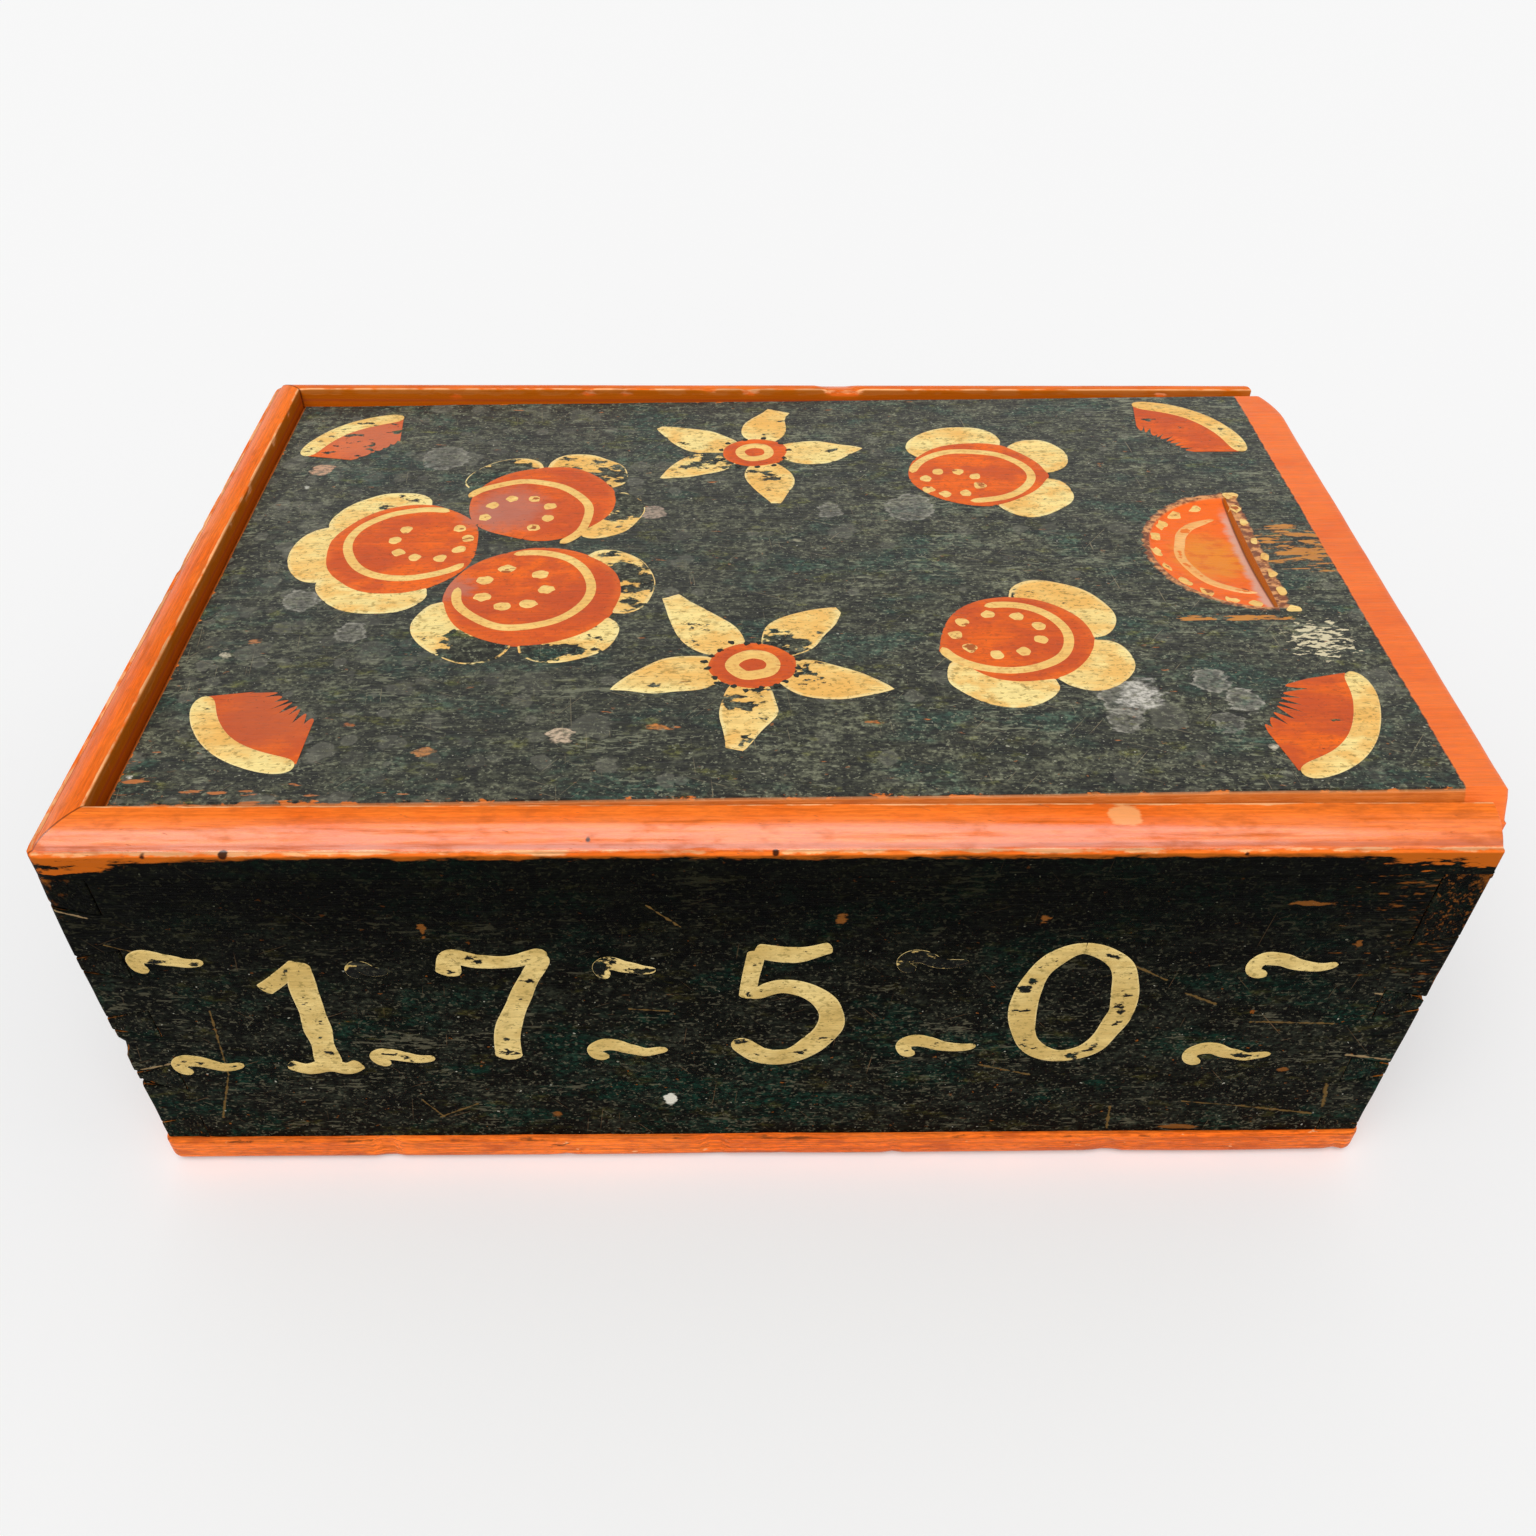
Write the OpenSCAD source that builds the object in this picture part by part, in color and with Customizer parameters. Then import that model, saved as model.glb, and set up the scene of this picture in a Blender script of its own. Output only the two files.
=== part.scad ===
// Painted slide-lid box: a dovetailed case of four boards on a nailed bottom board,
// with moulded rails on three sides that hold a lid sliding out to the right.
// Millimetres. X runs along the box, Y from front to back, Z up.
// The origin is the middle of the case on the face that the box stands on.

/* [Case] */
// Outside length of the dovetailed case, along X
box_l = 350; // [260:1:440]
// Outside width of the dovetailed case, along Y
box_w = 235; // [180:1:300]
// Height of the four wall boards
board_h = 111; // [80:1:160]
// Thickness of the wall boards
wall_t = 12; // [11:0.5:16]

/* [Bottom board] */
// Thickness of the bottom board
base_t = 11; // [8:0.5:16]
// How far the bottom board stands out past the walls
base_over = 1.5; // [0.5:0.1:4]
// Width of the worn lower edge on each face
base_wear = 4; // [1:0.5:6]
// Radius of the upright corners
base_corner_r = 3.5; // [1:0.5:8]

/* [Rails] */
// Height of the rails above the wall boards
rail_h = 13; // [11:0.5:18]
// Drop of the rounded top from its inner edge to the outer ledge
thumb_drop = 5; // [3:0.5:6]
// Width of the flat ledge along the outer edge
ledge_w = 1.3; // [0.5:0.1:2.5]
// Depth of the lid groove under the rails
groove_d = 6; // [3:0.5:7]

/* [Lid] */
// Thickness of the tongue that runs in the grooves
tongue_t = 5; // [3:0.5:6]
// Gap kept at every sliding face
slide_gap = 0.3; // [0.2:0.05:0.6]
// Depth of the lid's face below the rails at its inner end
field_drop = 4.2; // [2:0.1:5]
// Height of the lid's face above the rails at the pull end
field_rise = 0.4; // [0:0.1:2]
// Width of the bevel along the front and back edges
bevel_w = 4.5; // [2:0.1:8]
// Width of the bevel along the inner end
end_bevel_w = 2.3; // [1:0.1:6]
// How far the lid's free end stands out past the case
lid_over = 6.2; // [2:0.1:12]
// Radius of the worn back corner of the free end
lid_corner_r = 36; // [15:1:60]
// Radius of the rounded upper edge of the free end
nose_r = 2.5; // [0.5:0.5:4]

/* [Thumb pull] */
// Radius of the half-moon hollow
pull_r = 29.6; // [15:0.1:40]
// Depth of the hollow at the middle of its straight side
pull_depth = 2.9; // [2:0.1:6]
// Height of the upright edge round the curved side
pull_rim = 0.9; // [0.3:0.1:1.8]
// Distance of the straight side from the end of the case
pull_inset = 29; // [15:1:60]
// How far the hollow lies behind the middle of the lid
pull_shift = 4; // [-20:1:20]

/* [Dovetails] */
// Width of a pin at the end of the board
pin_w = 5; // [3:0.5:9]
// Slope of the tails' sides, across for each unit along
tail_slope = 0.28; // [0.1:0.01:0.35]
// Least height of wood left under the last tail
last_pin = 2; // [1:0.5:8]
// Width of a tail at the left corners
left_tail_w = 19.6; // [14:0.1:30]
// Height from the left corners' top to the first tail
left_top_pin = 9.7; // [4:0.1:20]
// Width of a tail at the right corners
right_tail_w = 25; // [14:0.1:30]
// Height from the right corners' top to the first tail
right_top_pin = 23; // [4:0.1:30]

/* [Nails] */
// Diameter of the iron sprigs and nails
nail_d = 1.8; // [1.2:0.1:2.4]
// Gap round each shank in its hole
nail_gap = 0.05; // [0.02:0.01:0.1]
// Length of a rail sprig
sprig_l = 26; // [18:1:40]
// Lean of the rail sprigs inwards, in degrees
sprig_lean = 15; // [5:1:18]
// Distance of a sprig's point of entry from the rail's outer face
sprig_in = 1.9; // [1.5:0.1:2.5]
// Depth of the sprigs' tops below the moulding
sprig_sink = 0.6; // [0.2:0.1:1.5]
// Greatest distance between rail sprigs
sprig_pitch = 75; // [40:5:120]
// Length of a bottom nail
base_nail_l = 30; // [20:1:45]
// Diameter of a bottom nail's head
head_d = 5; // [3.5:0.1:7]
// Thickness of a bottom nail's head
head_t = 1; // [0.6:0.1:2]
// Depth of the heads above the underside
head_sink = 0.4; // [0.1:0.1:1]
// Greatest distance between bottom nails
base_nail_pitch = 65; // [40:5:120]
// Distance of the end nails from the corners of the case
nail_margin = 28; // [22:1:50]

/* [Hidden] */
$fn = 64;

dark_paint = "#1d2622";
orange_paint = "#d9622b";
lid_paint = "#2b3530";
iron = "#3a3330";

// Overshoot of every cutting shape past the face that it opens
past = 1;
// Radius of the bottom board's worn edge, for each unit of its width
edge_flatness = 1.2;

// Half sizes of the case outside and inside
out_x = box_l / 2;
out_y = box_w / 2;
in_x = out_x - wall_t;
in_y = out_y - wall_t;

// Heights of the seams from the floor up
case_z = base_t + board_h;
top_z = case_z + rail_h;
lid_z = case_z + slide_gap;
tongue_z = lid_z + tongue_t;
groove_h = tongue_t + 2 * slide_gap;

// Radius of the rail's rounded top, level at its inner edge
thumb_run = wall_t - ledge_w;
thumb_r = (thumb_run * thumb_run + thumb_drop * thumb_drop) / (2 * thumb_drop);

// Edges of the lid: tongue in the grooves, raised field between the bevels
tongue_x = in_x + groove_d - slide_gap;
tongue_y = in_y + groove_d - slide_gap;
foot_x = in_x - slide_gap;
foot_y = in_y - slide_gap;
field_x = in_x - end_bevel_w;
field_y = in_y - bevel_w;
lid_end = out_x + lid_over;
field_slope = (field_drop + field_rise) / (out_x + in_x);
function field_z(x) = top_z - field_drop + field_slope * (x + in_x);
field_tilt = atan(field_slope);
// The long bevels keep one slope, so their foot closes in where the field is lower
bevel_run = (foot_y - field_y) / (field_z(lid_end) - tongue_z);

// Thumb pull
pull_x = out_x - pull_inset;
pull_hollow = pull_depth - pull_rim;
pull_ball_r = pull_r * pull_r / (2 * pull_hollow) + pull_hollow / 2;

// Nails: length of the point, share of the radius left at its tip,
// and length of the open way through the moulding above a sunk sprig
nail_point = 3 * nail_d;
tip_share = 0.25;
sprig_way = 6 * nail_d;

// Evenly spread places along a run, no further apart than the pitch
function spread(length, margin, pitch) =
    let (run = length - 2 * margin, steps = max(1, ceil(run / pitch)))
    [for (i = [0 : steps]) -run / 2 + i * run / steps];

// Tails of one corner, seen on the face of the board: x runs from the board's end inwards
module tail_row(tail_w, top_pin) {
    count = floor((board_h - top_pin + pin_w - last_pin) / (tail_w + pin_w));
    for (i = [0 : count - 1]) {
        tail_top = board_h - top_pin - i * (tail_w + pin_w);
        neck = wall_t * tail_slope;
        polygon([
            [0, tail_top],
            [0, tail_top - tail_w],
            [wall_t, tail_top - tail_w + neck],
            [wall_t, tail_top - neck]
        ]);
    }
}

// Outline of a front or back board: its plain length and the tails at both ends
module tail_board_face() {
    translate([-in_x, 0]) square([2 * in_x, board_h]);
    tail_row_at_left();
    tail_row_at_right();
}

module tail_row_at_left() {
    translate([-out_x, 0]) tail_row(left_tail_w, left_top_pin);
}

module tail_row_at_right() {
    translate([out_x, 0]) mirror([1, 0]) tail_row(right_tail_w, right_top_pin);
}

// Stands an outline drawn in x and height up as a wall whose back face lies at y
module wall_at(y) {
    translate([0, y, base_t]) rotate([90, 0, 0]) linear_extrude(wall_t) children();
}

// One sprig of a rail that runs along X with its outer face at y = 0, or its hole:
// the gap widens it, and the way lengthens it upwards
module sprig(gap, way) {
    entry_drop = thumb_r - sqrt(thumb_r * thumb_r - pow(wall_t - sprig_in, 2));
    shank_r = nail_d / 2 + gap;
    top = way - sprig_sink;
    tip = -sprig_sink - sprig_l - gap;
    translate([0, sprig_in, top_z - entry_drop]) rotate([sprig_lean, 0, 0]) rotate_extrude() polygon([
        [0, top],
        [shank_r, top],
        [shank_r, tip + nail_point],
        [shank_r * tip_share, tip],
        [0, tip]
    ]);
}

// A row of sprigs along a rail of the given length
module sprig_row(length, gap, way) {
    for (x = spread(length, nail_margin, sprig_pitch)) translate([x, 0, 0]) sprig(gap, way);
}

// Turns a row made for the front rail to the side that it belongs on
module on_front() {
    translate([0, -out_y, 0]) children();
}

module on_back() {
    translate([0, out_y, 0]) rotate([0, 0, 180]) children();
}

module on_left() {
    translate([-out_x, 0, 0]) rotate([0, 0, -90]) children();
}

module front_sprigs(gap = 0, way = 0) {
    on_front() sprig_row(box_l, gap, way);
}

module back_sprigs(gap = 0, way = 0) {
    on_back() sprig_row(box_l, gap, way);
}

module left_sprigs(gap = 0, way = 0) {
    on_left() sprig_row(box_w, gap, way);
}

// One bottom nail, head down, or its hole: the gap widens it, and the way lengthens its head downwards
module base_nail(gap, way) {
    shank_r = nail_d / 2 + gap;
    head_r = head_d / 2 + gap;
    tip = base_nail_l + gap;
    translate([0, 0, head_sink]) rotate_extrude() polygon([
        [0, -way],
        [head_r, -way],
        [head_r, head_t],
        [shank_r, head_t],
        [shank_r, tip - nail_point],
        [shank_r * tip_share, tip],
        [0, tip]
    ]);
}

// All bottom nails, along the middle of each wall's lower edge
module base_nails(gap = 0, way = 0) {
    for (side = [-1, 1]) {
        for (x = spread(box_l, nail_margin, base_nail_pitch))
            translate([x, side * (out_y - wall_t / 2), 0]) base_nail(gap, way);
        for (y = spread(box_w, nail_margin, base_nail_pitch))
            translate([side * (out_x - wall_t / 2), y, 0]) base_nail(gap, way);
    }
}

// Waste outside a quarter circle in the corner at the origin
module corner_waste(radius) {
    difference() {
        translate([-past, -past]) square(radius + past);
        translate([radius, radius]) circle(radius);
    }
}

// Waste off a lower edge that is worn round: the arc meets both faces at a slight angle
module edge_waste(length) {
    arc_r = edge_flatness * base_wear;
    arc_in = (base_wear + sqrt(2 * arc_r * arc_r - base_wear * base_wear)) / 2;
    translate([-length / 2, 0, 0]) rotate([90, 0, 90]) linear_extrude(length) difference() {
        translate([-past, -past]) square(base_wear + past);
        translate([arc_in, arc_in]) circle(arc_r);
    }
}

module base_plan(half_l, half_w) {
    difference() {
        square([2 * half_l, 2 * half_w], center = true);
        for (i = [0, 1], j = [0, 1])
            mirror([i, 0]) mirror([0, j]) translate([-half_l, -half_w]) corner_waste(base_corner_r);
    }
}

module bottom_board() {
    half_l = out_x + base_over;
    half_w = out_y + base_over;
    color(orange_paint) difference() {
        linear_extrude(base_t) base_plan(half_l, half_w);
        for (turn = [0, 180]) {
            rotate([0, 0, turn]) translate([0, -half_w, 0]) edge_waste(2 * half_l + past);
            rotate([0, 0, turn + 90]) translate([0, -half_l, 0]) edge_waste(2 * half_w + past);
        }
        base_nails(nail_gap, head_sink + past);
    }
}

module front_board() {
    color(dark_paint) difference() {
        wall_at(-in_y) tail_board_face();
        front_sprigs(nail_gap);
        base_nails(nail_gap);
    }
}

module back_board() {
    color(dark_paint) difference() {
        wall_at(out_y) tail_board_face();
        back_sprigs(nail_gap);
        base_nails(nail_gap);
    }
}

// An end board keeps its full width, less the sockets for the tails
module left_end_board() {
    color(dark_paint) difference() {
        translate([-out_x, -out_y, base_t]) cube([wall_t, box_w, board_h]);
        wall_at(-in_y) tail_row_at_left();
        wall_at(out_y) tail_row_at_left();
        left_sprigs(nail_gap);
        base_nails(nail_gap);
    }
}

module right_end_board() {
    color(dark_paint) difference() {
        translate([in_x, -out_y, base_t]) cube([wall_t, box_w, board_h]);
        wall_at(-in_y) tail_row_at_right();
        wall_at(out_y) tail_row_at_right();
        base_nails(nail_gap);
    }
}

// Rail section: x from the outer face inwards, y up from the wall board
module rail_section() {
    ledge_h = rail_h - thumb_drop;
    difference() {
        union() {
            square([wall_t, ledge_h]);
            intersection() {
                translate([ledge_w, 0]) square([thumb_run, rail_h]);
                translate([wall_t, rail_h - thumb_r]) circle(thumb_r);
            }
        }
        translate([wall_t - groove_d, -past]) square([groove_d + past, groove_h + past]);
    }
}

// A rail along X with its outer face at y = 0, from x0 to x1
module rail_bar(x0, x1) {
    translate([x0, 0, case_z]) rotate([90, 0, 90]) linear_extrude(x1 - x0) rail_section();
}

// Plan of a rail with a mitre at its left end, and at its right end too if asked
module mitre_plan(half, both) {
    right_in = both ? half - wall_t : half;
    polygon([[-half, 0], [half, 0], [right_in, wall_t], [-half + wall_t, wall_t]]);
}

module mitred_rail(half, both) {
    intersection() {
        rail_bar(-half, half);
        translate([0, 0, case_z - past]) linear_extrude(rail_h + 2 * past) mitre_plan(half, both);
    }
}

module front_rail() {
    color(orange_paint) difference() {
        on_front() mitred_rail(out_x, false);
        front_sprigs(nail_gap, sprig_way);
    }
}

module back_rail() {
    color(orange_paint) difference() {
        translate([0, out_y, 0]) mirror([0, 1, 0]) mitred_rail(out_x, false);
        back_sprigs(nail_gap, sprig_way);
    }
}

module left_rail() {
    color(orange_paint) difference() {
        on_left() mitred_rail(out_y, true);
        left_sprigs(nail_gap, sprig_way);
    }
}

// Side view of the raised field: end bevel, sloping top and rounded free end
module field_side() {
    difference() {
        polygon([
            [-foot_x, lid_z],
            [lid_end, lid_z],
            [lid_end, field_z(lid_end)],
            [-field_x, field_z(-field_x)],
            [-foot_x, tongue_z]
        ]);
        translate([lid_end, field_z(lid_end)]) mirror([1, 0]) mirror([0, 1]) corner_waste(nose_r);
    }
}

// The room between the two long bevels, which run along the slope of the field
module between_bevels() {
    wide = field_y + bevel_run * rail_h / cos(field_tilt);
    narrow = field_y - bevel_run * past / cos(field_tilt);
    translate([-in_x, 0, field_z(-in_x)]) rotate([0, -field_tilt, 0]) rotate([90, 0, 90])
        translate([0, 0, -past]) linear_extrude(in_x + lid_end + 2 * past)
            polygon([[-wide, -rail_h], [wide, -rail_h], [narrow, past], [-narrow, past]]);
}

module lid_field() {
    intersection() {
        translate([0, foot_y, 0]) rotate([90, 0, 0]) linear_extrude(2 * foot_y) field_side();
        between_bevels();
    }
}

// Waste off the lid's back corner, outside a wide arc that ends at the case's end
module lid_corner_waste() {
    reach = sqrt(pow(lid_corner_r, 2) - pow(lid_corner_r - lid_over, 2));
    arc_y = foot_y - reach;
    translate([0, 0, lid_z - past]) linear_extrude(rail_h + 2 * past) difference() {
        translate([out_x, arc_y]) square([lid_over + past, reach + past]);
        translate([lid_end - lid_corner_r, arc_y]) circle(lid_corner_r);
    }
}

// Half-moon hollow, deepest at its straight side, square to the sloping field
module pull_hollow_shape() {
    translate([pull_x, pull_shift, field_z(pull_x)]) rotate([0, -field_tilt, 0]) {
        cut_h = pull_depth + 2 * past;
        intersection() {
            translate([-pull_r, -pull_r, -pull_depth - past]) cube([pull_r, 2 * pull_r, cut_h]);
            translate([0, 0, -pull_depth - past]) cylinder(r = pull_r, h = cut_h);
            translate([0, 0, pull_ball_r - pull_depth]) sphere(pull_ball_r);
        }
    }
}

module lid() {
    color(lid_paint) difference() {
        union() {
            translate([-tongue_x, -tongue_y, lid_z]) cube([tongue_x + out_x, 2 * tongue_y, tongue_t]);
            lid_field();
        }
        lid_corner_waste();
        pull_hollow_shape();
    }
}

module front_rail_sprigs() {
    color(iron) front_sprigs();
}

module back_rail_sprigs() {
    color(iron) back_sprigs();
}

module left_rail_sprigs() {
    color(iron) left_sprigs();
}

module bottom_nails() {
    color(iron) base_nails();
}

bottom_board();
front_board();
back_board();
left_end_board();
right_end_board();
front_rail();
back_rail();
left_rail();
lid();
front_rail_sprigs();
back_rail_sprigs();
left_rail_sprigs();
bottom_nails();
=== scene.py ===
import bmesh
import bpy
import numpy as np
from mathutils import Matrix, Vector


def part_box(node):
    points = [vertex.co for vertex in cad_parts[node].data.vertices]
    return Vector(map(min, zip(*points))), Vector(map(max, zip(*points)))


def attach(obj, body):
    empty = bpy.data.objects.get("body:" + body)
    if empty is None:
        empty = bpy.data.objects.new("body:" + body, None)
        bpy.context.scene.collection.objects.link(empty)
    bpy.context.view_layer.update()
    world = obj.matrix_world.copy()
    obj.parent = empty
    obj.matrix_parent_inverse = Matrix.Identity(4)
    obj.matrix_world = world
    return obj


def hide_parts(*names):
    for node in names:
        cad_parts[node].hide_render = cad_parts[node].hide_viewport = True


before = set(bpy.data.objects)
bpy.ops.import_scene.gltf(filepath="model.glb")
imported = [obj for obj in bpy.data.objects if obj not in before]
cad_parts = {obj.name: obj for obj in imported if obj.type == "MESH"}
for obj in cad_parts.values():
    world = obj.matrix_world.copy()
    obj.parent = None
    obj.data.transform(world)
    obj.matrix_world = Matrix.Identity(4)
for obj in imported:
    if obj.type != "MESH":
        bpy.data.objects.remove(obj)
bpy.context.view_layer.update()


# Bottom board: one softwood board that lies under the whole case and stands a little proud of it.
# It is nailed up into the walls. Its lower edge is worn round from being pushed about on tables,
# and only the edge that shows is painted: the underside and the floor of the box are bare wood.
MM = 0.001
foot_wear = 4.0
top_arris = 1.1
base_corner = 3.5
base_pitch, base_rim = 3.0, 6.0
bare_from, painted_from = 8.5, 5.5


def span(node):
    """Lowest and highest corner of a CAD node at rest, in millimetres."""
    return np.array(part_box(node)) / MM


def ripple(points, size, seed):
    """Smooth unevenness from about -1 to 1: the sum of nine plane waves whose length is near the
    given size in millimetres and whose directions and phases come from the seed."""
    draw = np.random.default_rng(seed)
    ways = draw.normal(size=(9, points.shape[1]))
    ways /= np.linalg.norm(ways, axis=1, keepdims=True)
    ways *= 2 * np.pi / size * draw.uniform(0.6, 1.5, (9, 1))
    return np.sin(points @ ways.T + draw.uniform(0, 2 * np.pi, 9)).sum(axis=1) / 3.6


def graded(low, high, pitch, rim):
    """Places from low to high: close together within rim of both ends, then about pitch apart."""
    near = rim * np.linspace(0.0, 1.0, 7) ** 1.5
    count = max(2, int((high - low - 2 * rim) / pitch) + 1)
    middle = np.linspace(low + rim, high - rim, count)
    return np.unique(np.concatenate([low + near, middle, high - near]).round(4))


def quads(grid):
    """Four-sided faces between neighbouring rows and columns of a grid of point numbers."""
    return np.stack([grid[:-1, :-1], grid[1:, :-1], grid[1:, 1:], grid[:-1, 1:]], axis=-1).reshape(-1, 4)


def skin(xs, ys, zs):
    """The outside of a box of lattice points: every point that is first or last along an axis, and
    the quads between neighbours on each of the six faces, turned outwards."""
    number = np.full((len(xs), len(ys), len(zs)), -1)
    i, j, k = np.indices(number.shape)
    outside = (i % (len(xs) - 1) == 0) | (j % (len(ys) - 1) == 0) | (k % (len(zs) - 1) == 0)
    number[outside] = np.arange(outside.sum())
    points = np.stack([xs[i[outside]], ys[j[outside]], zs[k[outside]]], axis=1)
    sides = [number[0].T, number[-1], number[:, 0], number[:, -1].T, number[:, :, 0].T, number[:, :, -1]]
    return points, np.concatenate([quads(side) for side in sides])


def round_corners(plan, half, radius, inset):
    """A rectangle's plan with round corners: inside each corner square the nested squares become
    nested quarter circles. Every outline is then drawn in by the inset of its point."""
    radius = np.broadcast_to(radius, len(plan))
    core = np.clip(plan, radius[:, None] - half, half - radius[:, None])
    out = plan - core
    reach = np.abs(out).max(axis=1)
    length = np.maximum(np.linalg.norm(out, axis=1), 1e-9)
    return core + out * (reach / length * (1 - inset / radius))[:, None]


def shade(red, green, blue):
    """A colour written as it looks on a screen, 0 to 255, as the linear colour that shaders take."""
    seen = np.array([red, green, blue]) / 255
    linear = np.where(seen < 0.04045, seen / 12.92, ((seen + 0.055) / 1.055) ** 2.4)
    return (*linear.tolist(), 1.0)


class Wire:
    """A value on its way between shader nodes. Reckoning with it makes the arithmetic node for it."""

    def __init__(self, socket):
        self.socket = socket

    def __add__(self, other):
        return reckon("ADD", self, other)

    def __sub__(self, other):
        return reckon("SUBTRACT", self, other)

    def __rsub__(self, other):
        return reckon("SUBTRACT", other, self)

    def __mul__(self, other):
        return reckon("MULTIPLY", self, other)

    def __abs__(self):
        return reckon("ABSOLUTE", self)

    __radd__ = __add__
    __rmul__ = __mul__


def feed(socket, value):
    """Joins a socket to a wire, or sets it to a plain value."""
    if isinstance(value, Wire):
        socket.id_data.links.new(value.socket, socket)
    else:
        socket.default_value = value


def new_node(kind, *values):
    """A new shader node of a kind, in the tree of the first wire among the values."""
    wire = next(value for value in values if isinstance(value, Wire))
    return wire.socket.id_data.nodes.new("ShaderNode" + kind)


def reckon(operation, *values, kind="Math", output=0):
    """One arithmetic node on up to three values."""
    made = new_node(kind, *values)
    made.operation = operation
    for socket, value in zip(made.inputs, values):
        feed(socket, value)
    return Wire(made.outputs[output])


def vectors(operation, *values, output="Vector"):
    """One arithmetic node on vectors, whose output is a vector or a plain value."""
    return reckon(operation, *values, kind="VectorMath", output=output)


def greater(first, second):
    """The greater of two values."""
    return reckon("MAXIMUM", first, second)


def rise(value, start, end):
    """0 before start and 1 past end, with a smooth step between them."""
    made = new_node("MapRange", value)
    made.interpolation_type = "SMOOTHSTEP"
    for label, given in (("Value", value), ("From Min", start), ("From Max", end)):
        feed(made.inputs[label], given)
    return Wire(made.outputs[0])


def mixed(share, below, above, way="MIX"):
    """The colour below where share is 0, and the colour above laid on it where share is 1."""
    made = new_node("Mix", share, below, above)
    made.data_type = "RGBA"
    made.blend_type = way
    for index, value in ((0, share), (6, below), (7, above)):
        feed(made.inputs[index], value)
    return Wire(made.outputs[2])


def cloud(place, sizes, detail=3.0, shift=0.0):
    """Noise from 0 to 1 whose blotches measure about the given sizes in millimetres along X, Y and Z."""
    shifts = (shift, 0.7 * shift, 1.3 * shift)
    stretched = vectors("MULTIPLY_ADD", place, [1 / size for size in sizes], shifts)
    made = new_node("TexNoise", place)
    for label, value in (("Vector", stretched), ("Scale", 1.0), ("Detail", detail), ("Roughness", 0.6)):
        feed(made.inputs[label], value)
    return Wire(made.outputs["Fac"])


def new_group(name, takes, gives):
    """An empty node group with the named sockets: its tree, the wires it takes in and what it gives out."""
    tree = bpy.data.node_groups.new(name, "ShaderNodeTree")
    for way, sockets in (("INPUT", takes), ("OUTPUT", gives)):
        for label, kind in sockets.items():
            tree.interface.new_socket(label, in_out=way, socket_type="NodeSocket" + kind)
    taken = tree.nodes.new("NodeGroupInput").outputs
    return tree, {label: Wire(taken[label]) for label in takes}, tree.nodes.new("NodeGroupOutput").inputs


def use(group, **values):
    """Places a node group and feeds its sockets, whose names are the given words: its wires by name."""
    made = new_node("Group", values["Place"])
    made.node_tree = group
    for label, value in values.items():
        feed(made.inputs[label], value)
    return {output.name: Wire(output) for output in made.outputs}


def old_paint_group():
    """Brushed oil paint on wood whose grain runs along X. Patches fade, bristle lines and flecks run
    with the grain, and the wood shows where an arris is rubbed and where chips have come off."""
    tree, take, give = new_group(
        "old paint on wood",
        {"Place": "Vector", "Paint": "Color", "Faded": "Color", "Bare": "Color", "Edge": "Float",
         "Rub": "Float", "Chips": "Float", "Bristle": "Float"},
        {"Colour": "Color", "Roughness": "Float", "Height": "Float"})
    place = take["Place"]
    patches = cloud(place, (38, 21, 21), 5.0, 3.1)
    bristle = rise(cloud(place, (48, 0.9, 0.9), 4.0, 8.7), 0.3, 0.7)
    fleck = rise(cloud(place, (3.4, 0.5, 0.5), 3.0, 1.9), 0.3, 0.7)
    ragged = cloud(place, (9, 3.2, 3.2), 5.0, 5.3)
    scab = cloud(place, (9, 2.6, 2.6), 5.0, 11.7)
    coat = mixed(rise(patches, 0.38, 0.66), take["Paint"], take["Faded"])
    for streaks, least in ((bristle, 0.35), (fleck, 0.45)):
        lines = streaks * (2 * (1 - least)) + least
        coat = mixed(take["Bristle"], coat, lines, "MULTIPLY")
    rubbed = rise(ragged * 1.3 + take["Edge"] * take["Rub"] - 0.65, 0.42, 0.6)
    limit = 0.8 - take["Chips"] * 0.3
    chipped = rise(scab, limit, limit + 0.04)
    gone = greater(rubbed, chipped)
    wood = mixed(0.8, take["Bare"], bristle * 0.8 + 0.55, "MULTIPLY")
    feed(give["Colour"], mixed(gone, coat, wood))
    feed(give["Roughness"], gone * 0.25 + fleck * 0.2)
    feed(give["Height"], bristle * 0.5 + fleck * 0.25 - gone * 0.5)
    return tree


old_paint = old_paint_group()


def bare_wood_group():
    """Softwood left unpainted, its grain along X: early and late wood in long bands that bend a
    little, fine pores, and grey-brown dirt in patches."""
    tree, take, give = new_group(
        "bare old wood",
        {"Place": "Vector", "Light": "Color", "Dark": "Color", "Dirt": "Float"},
        {"Colour": "Color", "Height": "Float"})
    place = take["Place"]
    bands = cloud(place, (170, 6.5, 6.5), 2.0, 2.2)
    bands = reckon("PINGPONG", bands * 9.0, 1.0)
    pores = cloud(place, (26, 0.45, 0.45), 4.0, 6.1)
    soil = cloud(place, (60, 34, 34), 5.0, 9.4)
    share = pores * 0.7 + bands * 0.5 - 0.1
    wood = mixed(share, take["Light"], take["Dark"])
    soiled = rise(soil, 0.4, 0.75) * take["Dirt"]
    feed(give["Colour"], mixed(soiled, wood, shade(64, 48, 34)))
    feed(give["Height"], pores * 0.6 + bands * 0.3)
    return tree


bare_wood = bare_wood_group()


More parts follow.
